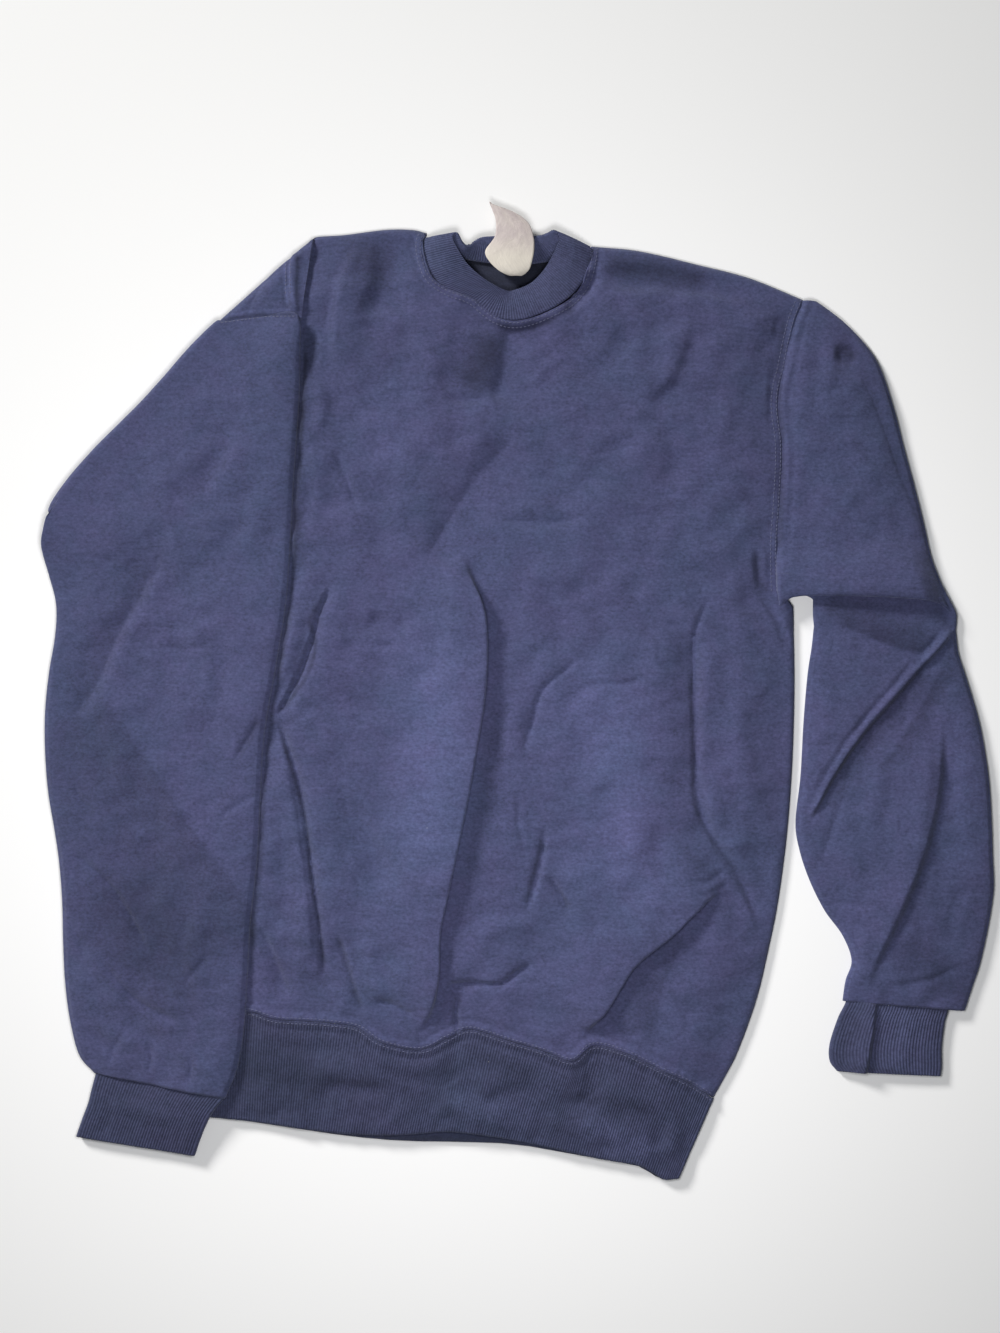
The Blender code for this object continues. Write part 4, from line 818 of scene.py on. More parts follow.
@dataclass
class Front:
    """The front: a patch between its outlines, rolled over at its sides and folded."""

    columns: int = 271
    rows: int = 325
    rest: float = 3.4           # middle of its cloth where it lies on the back
    loft: float = 5.6           # air under its middle
    roll: float = 7.0           # width of its rolled edges
    edge_rest: float = 1.1      # middle of its cloth at those edges
    neck_from: float = 0.40     # shares of its columns where the neckline starts and ends
    neck_to: float = 0.70

    LEFT_SIDE = [(-230.6, -241.1), (-227.6, -187.1), (-219.4, -112.1), (-206.6, -7.1), (-195.4, 67.9),
                 (-188.6, 112.9), (-192.4, 142.9), (-204.4, 199.1), (-214.1, 270.4)]
    RIGHT_SIDE = [(145.9, -304.9), (155.6, -287.6), (164.6, -269.6), (178.1, -232.1), (187.1, -194.6),
                  (194.6, -157.1), (201.4, -104.6), (205.1, -52.1), (206.6, 0.4), (206.2, 37.9),
                  (205.9, 57.4), (204.4, 65.6), (195.4, 73.9), (194.6, 107.6), (196.9, 142.1),
                  (198.4, 181.9), (195.4, 210.4), (196.1, 225.4), (199.9, 240.4), (203.6, 259.1),
                  (208.1, 277.1), (214.1, 292.1)]
    LEFT_FOLD = [(-214.1, 270.4), (-184.9, 300.4), (-155.6, 334.1)]
    LEFT_SHOULDER = [(-155.6, 334.1), (-151.9, 339.4), (-130.1, 341.2), (-100.1, 345.0), (-79.9, 345.0),
                     (-68.6, 342.4)]
    NECKLINE = [(-68.6, 342.4), (-71.6, 335.6), (-70.9, 324.4), (-65.6, 309.4), (-52.9, 299.6),
                (-34.1, 292.5), (-22.9, 283.1), (-11.6, 276.8), (2.6, 276.0), (19.9, 281.6), (36.4, 290.6),
                (46.9, 302.6), (52.1, 316.9), (54.4, 332.6)]
    RIGHT_SHOULDER = [(54.4, 332.6), (91.1, 328.9), (136.1, 318.4), (173.6, 308.6), (214.1, 292.1)]
    HEM_SEAM = [(-230.6, -241.1), (-201.4, -238.9), (-180.4, -244.9), (-146.6, -247.1), (-120.4, -250.9),
                (-102.4, -262.1), (-73.9, -268.1), (-53.6, -259.1), (-36.4, -252.4), (-10.1, -259.9),
                (19.9, -268.9), (40.1, -275.6), (55.1, -264.4), (79.1, -269.6), (100.9, -280.1),
                (128.6, -293.6), (145.9, -304.9)]

    # The large folds, as in the solid; where they hang over, their crests lean.
    FOLDS = [
        crease([(-7.9, 276.4), (-7.9, 255.4), (-12.4, 232.9), (-19.9, 211.9)], -6.5, 60, 17, taper=0.2),
        Fold([(-31.9, 253.9), (-45.4, 235.9), (-54.4, 216.4)], -2.6, 30, 16),
        crease([(-0.4, 195.4), (-11.6, 179.6), (-33.4, 155.6), (-49.1, 132.4), (-60.4, 112.9),
                (-72.4, 93.4)], -6.0, 60, 20, taper=0.2),
        Fold([(-49.9, 112.9), (-40.9, 84.4), (-32.6, 58.9), (-30.4, 30.4), (-32.6, -7.1), (-38.6, -43.1),
              (-43.9, -74.6), (-51.4, -110.6), (-58.9, -146.6), (-65.6, -179.6), (-66.4, -211.1),
              (-70.9, -238.1), (-85.9, -263.6)], 10.0, 8, 58, lean=6.6, taper=0.16),
        Fold([(-126.4, 86.6), (-138.4, 58.9), (-144.4, 30.4), (-157.9, -3.4), (-165.4, -25.1),
              (-153.4, -67.1), (-142.9, -119.6), (-135.4, -164.6), (-130.9, -209.6)], 3.0, 34, 20),
        Fold([(-163.9, 67.9), (-169.9, 30.4), (-176.6, 0.4)], 4.0, 12, 10),
        Fold([(-183.4, -25.1), (-174.4, -59.6), (-166.9, -104.6), (-159.4, -157.1), (-154.9, -209.6)], 2.6,
             6, 14, lean=1.2, taper=0.15),
        Fold([(-158.6, 266.6), (-157.1, 244.1), (-159.4, 205.9), (-162.4, 163.9), (-165.4, 115.9),
              (-168.4, 73.9)], 3.4, 34, 8),
        Fold([(-174.4, 51.4), (-181.1, 7.9), (-185.6, -33.4)], 3.0, 16, 8),
        Fold([(-188.6, -43.1), (-189.4, -82.1), (-191.6, -127.1), (-196.9, -175.9), (-199.1, -220.9)], 3.2,
             20, 8),
        Fold([(-154.9, 196.9), (-157.1, 169.1), (-160.9, 142.9)], 1.5, 24, 7),
        Fold([(-151.9, 270.4), (-154.9, 253.9), (-155.6, 235.9)], -2.0, 9, 7),
        Fold([(-114.4, -179.6), (-109.9, -205.9), (-103.9, -235.1)], 2.4, 10, 12),
        Fold([(32.6, 28.9), (11.6, 7.9), (-1.9, -23.6), (-4.9, -63.4)], 2.0, 12, 14),
        crease([(133.9, 60.4), (131.6, 30.4), (132.4, -7.1), (133.1, -52.1), (142.1, -102.4),
                (158.6, -126.4), (172.9, -149.6), (183.4, -175.9)], -5.0, 9, 36, taper=0.2),
        Fold([(142.1, 37.9), (140.6, -7.1), (142.1, -52.1)], 1.6, 16, 10),
        Fold([(155.6, -142.1), (133.9, -154.1), (109.9, -176.6), (91.1, -191.6), (77.6, -205.1),
              (61.1, -232.1), (41.6, -257.6)], 8.0, 8, 52, lean=6.0, taper=0.18),
        Fold([(-112.9, 340.9), (-124.9, 315.4), (-133.1, 285.4), (-134.6, 259.1), (-130.1, 232.9)], 4.0, 30,
             10),
        Fold([(-94.9, 343.9), (-99.4, 307.9), (-108.4, 274.1)], -4.6, 26, 16),
        Fold([(124.1, 279.4), (119.6, 253.9), (106.1, 229.1), (86.6, 214.1)], 3.4, 10, 40),
        Fold([(112.1, 202.9), (115.9, 176.6), (112.9, 148.9)], -2.4, 30, 13),
        Fold([(53.6, 321.4), (73.1, 310.1), (106.1, 307.9), (139.9, 304.9), (178.9, 295.1)], -5.2, 12, 15),
        Fold([(61.1, 315.4), (47.6, 298.1), (32.6, 286.1)], -4.0, 10, 8),
        Fold([(-130.1, -78.4), (-115.1, -112.1), (-93.4, -151.1)], -3.6, 16, 20),
        Fold([(-114.4, 55.9), (-97.9, 46.9), (-79.9, 46.9)], -3.0, 11, 11),
        Fold([(31.1, -82.1), (46.1, -127.1), (50.6, -179.6)], 2.0, 24, 20),
        Fold([(76.1, -22.1), (85.1, -74.6), (86.6, -127.1)], 2.2, 22, 26),
        Fold([(31.1, 97.9), (61.1, 79.1), (91.1, 75.4)], 1.6, 26, 22),
        Fold([(-88.9, 202.9), (-81.4, 165.4), (-85.9, 120.4)], 1.8, 26, 22),
    ]
    # Creases, thin and deep, and small puckers.
    CREASES = [
        crease([(-139.9, 78.4), (-148.9, 58.9), (-154.1, 37.9), (-163.9, 11.6), (-181.1, -20.6)], -4.6, 11,
               3.6, taper=0.12),
        crease([(-180.4, -22.1), (-171.4, -44.6), (-163.9, -70.9), (-157.1, -115.9), (-151.1, -158.6),
                (-145.9, -217.1)], -3.4, 8, 3, taper=0.08),
        crease([(46.1, 24.4), (35.6, 15.4), (18.4, 0.4), (11.6, -20.6), (4.1, -46.1)], -2.4, 3, 6,
               taper=0.12),
        crease([(97.1, 9.4), (77.6, 4.9), (58.1, 4.9), (41.6, -1.1)], -2.0, 5, 5),
        crease([(145.1, 73.9), (132.4, 45.4), (131.6, 14.6), (132.4, -41.6), (134.6, -83.6),
                (148.9, -116.6), (167.6, -145.9), (183.4, -176.6)], -2.6, 3, 5, taper=0.08),
        crease([(19.9, -95.6), (18.4, -121.1), (12.4, -145.9), (4.9, -170.6)], -3.6, 4, 9),
        crease([(21.4, -136.1), (29.6, -149.6), (38.6, -168.4)], -4.0, 5, 7),
        crease([(178.1, 108.4), (179.6, 86.6), (184.9, 67.9), (194.6, 51.4), (202.9, 28.9)], -5.0, 5, 6,
               taper=0.15),
        Fold([(199.1, 283.9), (196.9, 255.4), (193.9, 221.6), (196.1, 187.9)], -5.0, 6, 10, taper=0.15),
        crease([(196.1, 195.4), (196.9, 142.9), (193.9, 103.9)], -2.6, 5, 6, taper=0.15),
        crease([(-24.4, 131.6), (1.1, 126.4), (31.1, 125.6), (56.6, 133.1)], -2.6, 11, 9),
        crease([(-7.9, 162.4), (8.6, 158.6), (28.1, 160.9)], -1.6, 8, 8),
        crease([(38.6, 179.6), (53.6, 175.9), (68.6, 178.9)], -1.4, 7, 7),
        crease([(-56.6, 219.4), (-40.9, 216.4), (-19.9, 217.9)], -2.4, 9, 8),
        crease([(-131.6, 1.9), (-117.4, -10.9), (-96.4, -23.6)], -2.0, 7, 6),
        crease([(-126.4, -16.1), (-109.9, -29.6), (-90.4, -40.1)], -1.8, 7, 6),
        crease([(-109.9, -230.6), (-94.9, -233.6), (-79.1, -242.6)], -2.6, 5, 5),
        crease([(-56.6, -220.9), (-36.4, -218.6), (-13.9, -218.6), (-0.4, -209.6), (11.6, -203.6)], -4.2, 5,
               7, taper=0.12),
        crease([(-44.6, -224.6), (-46.9, -241.1), (-43.9, -259.1)], -3.8, 4, 5),
        crease([(-192.4, -175.9), (-183.4, -198.4), (-171.4, -230.6)], -3.6, 7, 12),
        crease([(-136.9, -176.6), (-130.1, -198.4), (-123.4, -220.9), (-114.4, -245.6)], -3.0, 5, 13),
        crease([(-138.4, 181.9), (-128.6, 159.4), (-118.9, 132.4)], -2.2, 7, 8),
        crease([(119.6, -134.6), (136.1, -140.6), (157.1, -134.6)], -1.8, 5, 5),
        crease([(122.6, -146.6), (139.1, -148.1), (161.6, -143.6)], -1.8, 5, 5),
        crease([(128.6, -157.1), (148.1, -151.9), (166.1, -157.1)], -1.4, 5, 5),
        Fold([(7.1, 226.9), (20.6, 240.4), (37.1, 253.9)], 1.3, 8, 8),
        crease([(53.6, 270.4), (70.1, 261.4), (91.1, 259.1)], -1.3, 9, 9),
        crease([(91.1, 52.9), (103.1, 37.9), (109.1, 21.4)], -1.5, 7, 7),
        crease([(109.1, 51.4), (121.1, 45.4), (131.6, 36.4)], -2.0, 7, 6),
        crease([(-118.9, 37.9), (-100.9, 33.4), (-85.9, 37.9)], -1.3, 7, 7),
        crease([(-148.9, -52.1), (-132.4, -74.6), (-124.9, -93.4)], -1.4, 8, 8),
        crease([(-138.4, -110.6), (-124.9, -131.6), (-114.4, -157.1)], -1.4, 7, 7),
        Fold([(61.1, -52.1), (58.1, -89.6), (65.6, -127.1)], 1.2, 14, 14),
        Fold([(162.4, -7.1), (167.6, -52.1), (175.1, -97.1)], 1.4, 14, 12),
        Fold([(-163.9, 195.4), (-156.4, 157.9), (-159.4, 112.9)], -1.6, 9, 9),
        Fold([(-150.4, 232.9), (-145.9, 210.4), (-151.9, 187.9)], 1.8, 8, 9),
        Fold([(91.1, -217.1), (112.1, -232.1), (136.1, -247.1)], -1.4, 12, 10),
        Fold([(102.4, -254.6), (128.6, -262.1), (152.6, -278.6)], 1.4, 12, 9),
        Fold([(-28.9, -179.6), (-6.4, -173.6), (19.9, -179.6)], 1.4, 10, 10),
        crease([(1.1, -74.6), (-0.4, -97.1), (4.1, -119.6)], -1.6, 5, 5),
        Fold([(-54.4, 97.9), (-49.9, 67.9), (-51.4, 30.4)], 1.6, 14, 12),
        Fold([(162.4, 97.9), (160.1, 67.9), (167.6, 37.9)], 1.4, 12, 10),
        Fold([(76.1, 217.9), (91.1, 187.9), (85.1, 150.4)], 1.3, 18, 16),
        Fold([(31.1, 82.9), (53.6, 60.4), (70.1, 30.4)], -1.4, 12, 10),
        Fold([(-73.9, 292.9), (-58.9, 277.9), (-49.9, 253.9)], 1.4, 12, 12),
    ]

    def edge(self, points: np.ndarray) -> tuple[np.ndarray, np.ndarray, np.ndarray]:
        """How far round its rolled edge each point is, how near that edge, and how near the armhole."""
        lines = [spline(self.LEFT_SIDE, 80), spline(self.RIGHT_SIDE[:12], 80),
                 spline(self.RIGHT_SHOULDER, 60), spline(self.LEFT_SHOULDER, 30)]
        near = np.min([np.abs(from_line(points, line)[0]) for line in lines], axis=0)
        inward = np.clip(near / self.roll, 0.0, 1.0)
        seam = np.abs(from_line(points, spline(self.RIGHT_SIDE[11:], 90))[0])
        return np.sqrt(1.0 - (1.0 - inward) ** 2), near, seam

    def surface(self, plan: np.ndarray) -> np.ndarray:
        """Points on its upper side over points in plan."""
        round_edge, near, seam = self.edge(plan)
        large, shift = relief(plan, self.FOLDS)
        fine, _ = relief(plan, self.CREASES)
        inner = smooth_step(near / 16.0) * smooth_step(seam / 12.0)
        heights = self.loft * smooth_step(np.minimum(near, seam) / 45.0) + large * inner
        drift = plan * np.array([0.45, 1.0])
        fine = fine + 2.2 * ripple(plan, 46.0, 3.0) + 1.9 * ripple(plan, 19.0, 9.0)
        fine = fine + 0.75 * ripple(drift, 8.5, 5.0) + 0.25 * ripple(drift, 4.0, 8.0)
        heights += fine * smooth_step(near / 8.0)
        seams = seam_relief(plan, spline(self.HEM_SEAM, 160), 1.0)
        seams += seam_relief(plan, spline(self.NECKLINE, 90), 2.0)
        seams += 0.6 * seam_relief(plan, spline(self.RIGHT_SIDE[11:], 90), 4.0)
        heights = 0.8 * np.logaddexp(0.0, (heights + 0.5) / 0.8) - 0.5
        z = self.edge_rest + (self.rest - self.edge_rest + heights) * round_edge
        z += seams * smooth_step(near / 3.0) + FLEECE / 2.0 - 1.2 * (1.0 - np.minimum(seam / 1.6, 1.0)) ** 2
        shift *= inner[:, None]
        return np.concatenate([plan + shift, z[:, None]], axis=1)

    def plan(self) -> np.ndarray:
        """Its grid in plan, from the hem up and from left to right."""
        u, v = np.linspace(0.0, 1.0, self.columns), np.linspace(0.0, 1.0, self.rows)
        before, after = u < self.neck_from, u >= self.neck_to
        neck = ~before & ~after
        top = np.vstack([
            resample(spline(self.LEFT_FOLD + self.LEFT_SHOULDER[1:], 120), u[before] / self.neck_from),
            resample(spline(self.NECKLINE, 120),
                     (u[neck] - self.neck_from) / (self.neck_to - self.neck_from)),
            resample(spline(self.RIGHT_SHOULDER, 120),
                     (u[after] - self.neck_to) / (1.0 - self.neck_to)),
        ])
        hem = resample(spline(self.HEM_SEAM, 120), u)
        left, right = (resample(spline(side, 120), v) for side in (self.LEFT_SIDE, self.RIGHT_SIDE))
        uu, vv = np.meshgrid(u, v)
        uu, vv = uu[..., None], vv[..., None]
        plan = (1 - vv) * hem[None] + vv * top[None]
        to_left, to_right = (left - plan[:, 0])[:, None], (right - plan[:, -1])[:, None]
        return relaxed(plan + (1 - uu) ** 3 * to_left + uu ** 3 * to_right, 500)

    def build(self) -> bpy.types.Object:
        """Makes the front."""
        plan = self.plan()
        self.grid = self.surface(plan.reshape(-1, 2)).reshape(*plan.shape[:2], 3)
        return Shell("front_cloth", self.grid, FLEECE, panel=True).build()


@dataclass
class Back:
    """The back: flat on the surface, its left shoulder corner folded up over the front."""

    inset: float = 5.4          # it ends this far inside the front's rolled edges
    flap_rest: float = 7.4      # upper side of its folded corner
    fold_axis: float = 4.05
    edge_drop: float = 2.6      # how far the corner's outer edge sinks,
    corner_drop: float = 2.2    # the high end of that edge,
    tip_drop: float = 0.48      # and its tip
    steps: int = 72

    NECKLINE = [(59.6, 327.4), (46.1, 331.1), (32.6, 328.1), (12.4, 324.4), (-9.4, 323.6), (-30.4, 325.9),
                (-47.6, 329.6), (-60.4, 332.6), (-73.9, 333.4)]
    HEM = [(-230.6, -242.6), (-163.9, -244.1), (-88.9, -254.6), (-13.9, -265.9), (61.1, -284.6),
           (145.9, -306.4)]
    FOLD = [(-215.6, 274.9), (-162.4, 325.1)]
    FLAP = [(-228.0, 273.8), (-152.9, 340.6), (-162.0, 274.1)]
    FOLDS = [
        Fold([(-166.9, 328.9), (-168.4, 304.1), (-166.9, 279.4)], 1.5, 8, 4, taper=0.12),
        Fold([(-192.4, 306.4), (-184.9, 292.9), (-181.9, 282.4)], 0.8, 8, 8),
        crease([(-173.6, 321.4), (-174.4, 300.4), (-172.9, 280.9)], -0.7, 4, 4, taper=0.1),
    ]

    def flap(self, fold: np.ndarray, support: HeightMap) -> list[np.ndarray]:
        """The rows of points of its folded corner, from the fold to the tip.

        Args:
            fold: the fold's line in plan.
            support: the top of what the corner lies on.

        Returns:
            The rows. The first runs along the fold, flat on the surface.
        """
        level = FLEECE / 2.0
        radius = self.fold_axis - level
        way = (fold[-1] - fold[0]) / np.linalg.norm(fold[-1] - fold[0])
        outward = np.array([-way[1], way[0]])
        rows = [np.column_stack([fold, np.full(len(fold), level)])]
        for angle in np.linspace(0.0, np.pi, 13)[1:]:
            lift = self.fold_axis - radius * math.cos(angle)
            rows.append(np.column_stack([fold + outward * radius * math.sin(angle),
                                         np.full(len(fold), lift)]))
        low, high, tip = (np.array(point) for point in self.FLAP)
        corner = smooth_step(np.linspace(-5.0, 1.0, len(fold)))
        for share in np.linspace(0.04, 0.97, self.steps):
            ends = np.array([low + share * (tip - low), high + share * (tip - high)])
            line = resample(ends, np.linspace(0.0, 1.0, len(fold)))
            rest = np.maximum(self.flap_rest, support.at(line) + LAYER_GAP + FLEECE / 2.0 + 0.4)
            drop = self.tip_drop * smooth_step((share - 0.75) / 0.22)
            drop += self.edge_drop * (1.0 - smooth_step(share / 0.13))
            drop = drop + self.corner_drop * corner * (1.0 - smooth_step(share / 0.25))
            rise, _ = relief(line, self.FOLDS)
            z = rest + rise + 0.35 * ripple(line, 12.0, 6.0) - drop
            rows.append(np.column_stack([line, np.maximum(z, support.at(line) + LAYER_GAP + FLEECE / 2.0)]))
        return rows

    def build(self, front: Front, support: HeightMap) -> bpy.types.Object:
        """Makes the back.

        Args:
            front: the front, whose outline it follows.
            support: the top of what its folded corner lies on.

        Returns:
            The finished piece.
        """
        left = inset(spline(front.LEFT_SIDE, 60), -self.inset)
        fold = resample(np.array(self.FOLD), np.linspace(0.0, 1.0, self.steps + 1))
        left_shoulder = inset(spline(front.LEFT_SHOULDER, 14), -self.inset)[1:]
        neck = spline(self.NECKLINE[::-1], 40)
        right_shoulder = inset(spline(front.RIGHT_SHOULDER, 20), -self.inset)[1:-1]
        right = inset(spline(front.RIGHT_SIDE[::-1], 90), -self.inset)[1:]
        hem = spline(self.HEM, 40)[::-1] + np.array([0.0, 1.3])
        flat = np.vstack([left[1:-1], fold, left_shoulder, neck, right_shoulder, right[:-1], hem[1:-1]])
        rows = self.flap(fold, support)
        verts = [(x, y, FLEECE / 2.0) for x, y in flat]
        faces: list[list[int]] = [list(range(len(flat)))[::-1]]
        start = len(left) - 2
        last = list(range(start, start + len(fold)))
        for row in rows[1:]:
            ids = list(range(len(verts), len(verts) + len(row)))
            verts += [tuple(point) for point in row]
            faces += [[last[j], last[j + 1], ids[j + 1], ids[j]] for j in range(len(row) - 1)]
            last = ids
        points = np.array(verts)
        points[:, :2] += CENTRE_SHIFT
        piece = new_piece("back_cloth", points, faces)
        mesh = piece.data
        layer = mesh.uv_layers.new(name="cloth")
        index = np.empty(len(mesh.loops), int)
        mesh.loops.foreach_get("vertex_index", index)
        layer.data.foreach_set("uv", (points[index][:, :2] * MM).astype(np.float32).ravel())
        # painted light and shade for each point, as on the other pieces
        fuzz_and_painted_shading, _ = relief(points[:, :2] - CENTRE_SHIFT, PAINTED_LIGHT_AND_SHADE)
        add_values(mesh, "fuzz_and_painted_shading", fuzz_and_painted_shading)
        solid = piece.modifiers.new("thickness", "SOLIDIFY")
        solid.thickness = FLEECE * MM
        solid.offset = 0.0
        apply_modifiers(piece)
        for face in piece.data.polygons:    # the inside facing up gets a finish of its own, painted far darker as the shade in the neck opening
            face.material_index = int(face.normal.z > 0.5 and face.center.z < 1.5 * FLEECE * MM)
        return piece


def apply_modifiers(piece: bpy.types.Object) -> None:
    """Applies each of a piece's modifiers."""
    for other in bpy.context.selected_objects:
        other.select_set(False)
    bpy.context.view_layer.objects.active = piece
    piece.select_set(True)
    for modifier in list(piece.modifiers):
        bpy.ops.object.modifier_apply(modifier=modifier.name)
    piece.select_set(False)


def even_rows(table: np.ndarray, spacing: float) -> np.ndarray:
    """Smooth rows through those of a table of sections, evenly spaced along the tube.

    Args:
        table: one section a row, its two ends in plan first.
        spacing: from one row to the next, about.

    Returns:
        The rows.
    """
    dense = catmull(table, 40)
    middle = (dense[:, :2] + dense[:, 2:4]) / 2.0
    reach = np.concatenate([[0.0], np.cumsum(np.linalg.norm(np.diff(middle, axis=0), axis=1))])
    places = np.linspace(0.0, reach[-1], int(reach[-1] / spacing) + 1)
    return np.stack([np.interp(places, reach, column) for column in dense.T], axis=-1)


def section(start: np.ndarray, end: np.ndarray, across: np.ndarray, thickness: float,
            turns: int) -> tuple[np.ndarray, np.ndarray]:
    """The plan of one section of a flat tube.

    Args:
        start: the tube's edge on the left, in plan.
        end: its edge on the right.
        across: shares of the width for the points of a layer.
        thickness: of the cloth.
        turns: points round each edge.

    Returns:
        The plan of the layer's points, and how far round each edge its points reach.
    """
    way = (end - start) / np.linalg.norm(end - start)
    radius = TUBE_GAP / 2.0 + thickness / 2.0
    inner_start, inner_end = start + way * radius, end - way * radius
    line = inner_start + across[:, None] * (inner_end - inner_start)
    angles = np.linspace(np.pi / 2.0, -np.pi / 2.0, turns + 2)[1:-1]
    return line, np.column_stack([np.cos(angles) * radius, np.sin(angles)])


def tube_ring(start: np.ndarray, end: np.ndarray, upper: np.ndarray, lower: np.ndarray,
              across: np.ndarray, under: np.ndarray, thickness: float, turns: int,
              line: np.ndarray | None = None) -> np.ndarray:
    """One section of a flat tube: its upper layer, an edge, its lower layer and the other edge.

    Args:
        start: the tube's edge on the left, in plan.
        end: its edge on the right.
        upper: heights of the upper layer's outer side at the shares "across".
        lower: heights of the lower layer's outer side at the shares "under".
        across: shares of the width for the upper layer.
        under: shares of the width for the lower layer.
        thickness: of the cloth.
        turns: points round each edge.
        line: plan of the upper layer's points, if it isn't straight above the lower one.

    Returns:
        The ring's points in space.
    """
    straight, bend = section(start, end, across, thickness, turns)
    line = straight if line is None else line
    under_line, _ = section(start, end, under, thickness, turns)
    way = (end - start) / np.linalg.norm(end - start)
    edges = []
    for out, k, turn in ((way, -1, bend), (-way, 0, bend[::-1])):
        middle, half = (upper[k] + lower[k]) / 2.0, (upper[k] - lower[k]) / 2.0
        down = (1.0 - turn[:, 1:]) / 2.0
        centre = (1.0 - down) * line[k] + down * under_line[k]
        edges.append(np.column_stack([centre + out * turn[:, :1], middle + half * turn[:, 1]]))
    return np.vstack([np.column_stack([line, upper]), edges[0],
                      np.column_stack([under_line, lower])[::-1], edges[1]])


@dataclass
class LeftSleeve:
    """The left sleeve: it leaves the armhole flat, folds over a slanting line and lies down the front."""

    across: int = 150
    under: int = 60
    turns: int = 6
    spacing: float = 2.0
    settle: int = 26            # rows over which it comes down from its fold

    # Its two edges where it lies under the fold, from the armhole out.
    UNDER = [
        (-237.4, 120.4, -200.6, 157.1), (-277.1, 123.4, -208.9, 193.1),
        (-325.9, 127.1, -217.1, 238.1), (-349.5, 131.6, -220.9, 274.9),
    ]
    # Its right edge, from the fold down.
    EDGE = [(-164.6, 292.9), (-163.9, 246.4), (-165.4, 205.9), (-168.4, 163.9), (-171.4, 115.9),
            (-174.4, 67.9), (-181.9, 19.1), (-190.9, -33.4), (-193.9, -82.1), (-196.1, -127.1),
            (-201.4, -175.9), (-203.6, -217.1), (-211.9, -284.6)]
    # How far the fold bows out, by its share of the way up.
    BOW = [(-0.1, 0.6), (0.0, 0.8), (0.05, 2.1), (0.17, 4.2), (0.31, 4.3), (0.44, 2.9), (0.57, 1.6),
           (0.70, 1.5), (0.84, 2.0), (1.0, 0.4), (1.1, 0.3)]
    # Its left edge, its right edge and its fullness, from the fold down to the cuff.
    ROWS = [
        (-352.0, 129.0, -215.6, 275.6, 0.5), (-354.4, 119.6, -206.6, 277.1, 0.8),
        (-355.9, 106.9, -192.4, 278.2, 1.4), (-350.6, 84.4, -164.6, 279.8, 2.4),
        (-346.1, 63.4, -162.4, 246.4, 3.8), (-346.9, 40.9, -163.9, 205.9, 4.8),
        (-351.4, 13.9, -166.9, 163.9, 5.2), (-354.4, -16.1, -169.9, 115.9, 5.6),
        (-354.4, -46.1, -172.9, 67.9, 5.8), (-352.1, -76.1, -180.4, 19.1, 5.8),
        (-347.6, -103.1, -189.4, -33.4, 5.6), (-343.9, -128.6, -192.4, -82.1, 5.6),
        (-341.6, -158.6, -194.6, -127.1, 5.6), (-340.9, -188.6, -199.9, -175.9, 5.8),
        (-339.4, -218.6, -202.1, -217.1, 5.6), (-335.6, -247.1, -204.4, -250.9, 4.8),
        (-328.9, -272.6, -209.6, -281.6, 3.6), (-317.6, -286.1, -218.6, -304.1, 2.2),
    ]
    FOLDS = [
        crease([(-262.9, 109.1), (-292.9, 52.9), (-316.1, 7.9), (-336.4, -29.6)], -5.0, 12, 44, taper=0.18),
        crease([(-321.4, 0.4), (-276.4, -55.9), (-236.6, -115.9), (-208.9, -160.9)], 3.5, 60, 50,
               taper=0.2),
        crease([(-342.4, -112.1), (-322.9, -128.6), (-304.9, -145.1), (-287.6, -172.1), (-271.9, -202.1)],
               -2.6, 5, 5),
        crease([(-315.4, -196.9), (-297.4, -218.6), (-279.4, -235.1), (-244.9, -250.1)], -3.2, 7, 5),
        crease([(-249.4, -218.6), (-238.9, -206.6), (-229.1, -194.6)], -1.8, 6, 6),
        crease([(-190.9, -17.6), (-201.4, -35.6), (-212.6, -53.6)], -3.6, 6, 6),
        crease([(-190.9, -75.4), (-205.9, -83.6), (-223.9, -94.9)], -3.4, 5, 6),
        Fold([(-209.6, 196.9), (-223.9, 171.4), (-242.6, 141.4)], -2.4, 12, 14),
        crease([(-301.1, 192.4), (-288.4, 165.4), (-274.9, 136.1)], -1.6, 6, 6),
        crease([(-219.4, -180.4), (-204.4, -176.6), (-190.9, -168.4)], -1.8, 5, 5),
        crease([(-332.6, -68.6), (-325.9, -82.1), (-315.4, -92.6)], -1.8, 4, 4),
        Fold([(-228.4, 232.9), (-256.9, 195.4), (-276.4, 165.4)], 1.6, 18, 18),
        Fold([(-325.9, -239.6), (-301.9, -254.6), (-268.9, -266.6)], 1.6, 10, 10),
        Fold([(-235.1, -157.1), (-241.9, -194.6), (-235.9, -236.6)], 1.6, 14, 10),
        crease([(-306.4, -281.6), (-301.9, -266.6), (-294.4, -254.6)], -1.4, 6, 6),
        crease([(-276.4, -287.6), (-274.1, -272.6), (-276.4, -260.6)], -1.4, 6, 6),
        crease([(-246.4, -295.1), (-243.4, -278.6), (-246.4, -265.1)], -1.4, 6, 6),
        Fold([(-174.4, 165.4), (-192.4, 127.9), (-201.4, 90.4)], 2.0, 16, 16),
        Fold([(-211.9, 52.9), (-222.4, 15.4), (-216.4, -22.1)], -1.6, 12, 12),
        crease([(-268.9, 37.9), (-246.4, 30.4), (-223.9, 37.9)], -1.4, 7, 7),
        crease([(-343.9, -160.9), (-328.9, -183.4), (-322.9, -205.9)], -1.4, 8, 8),
    ]

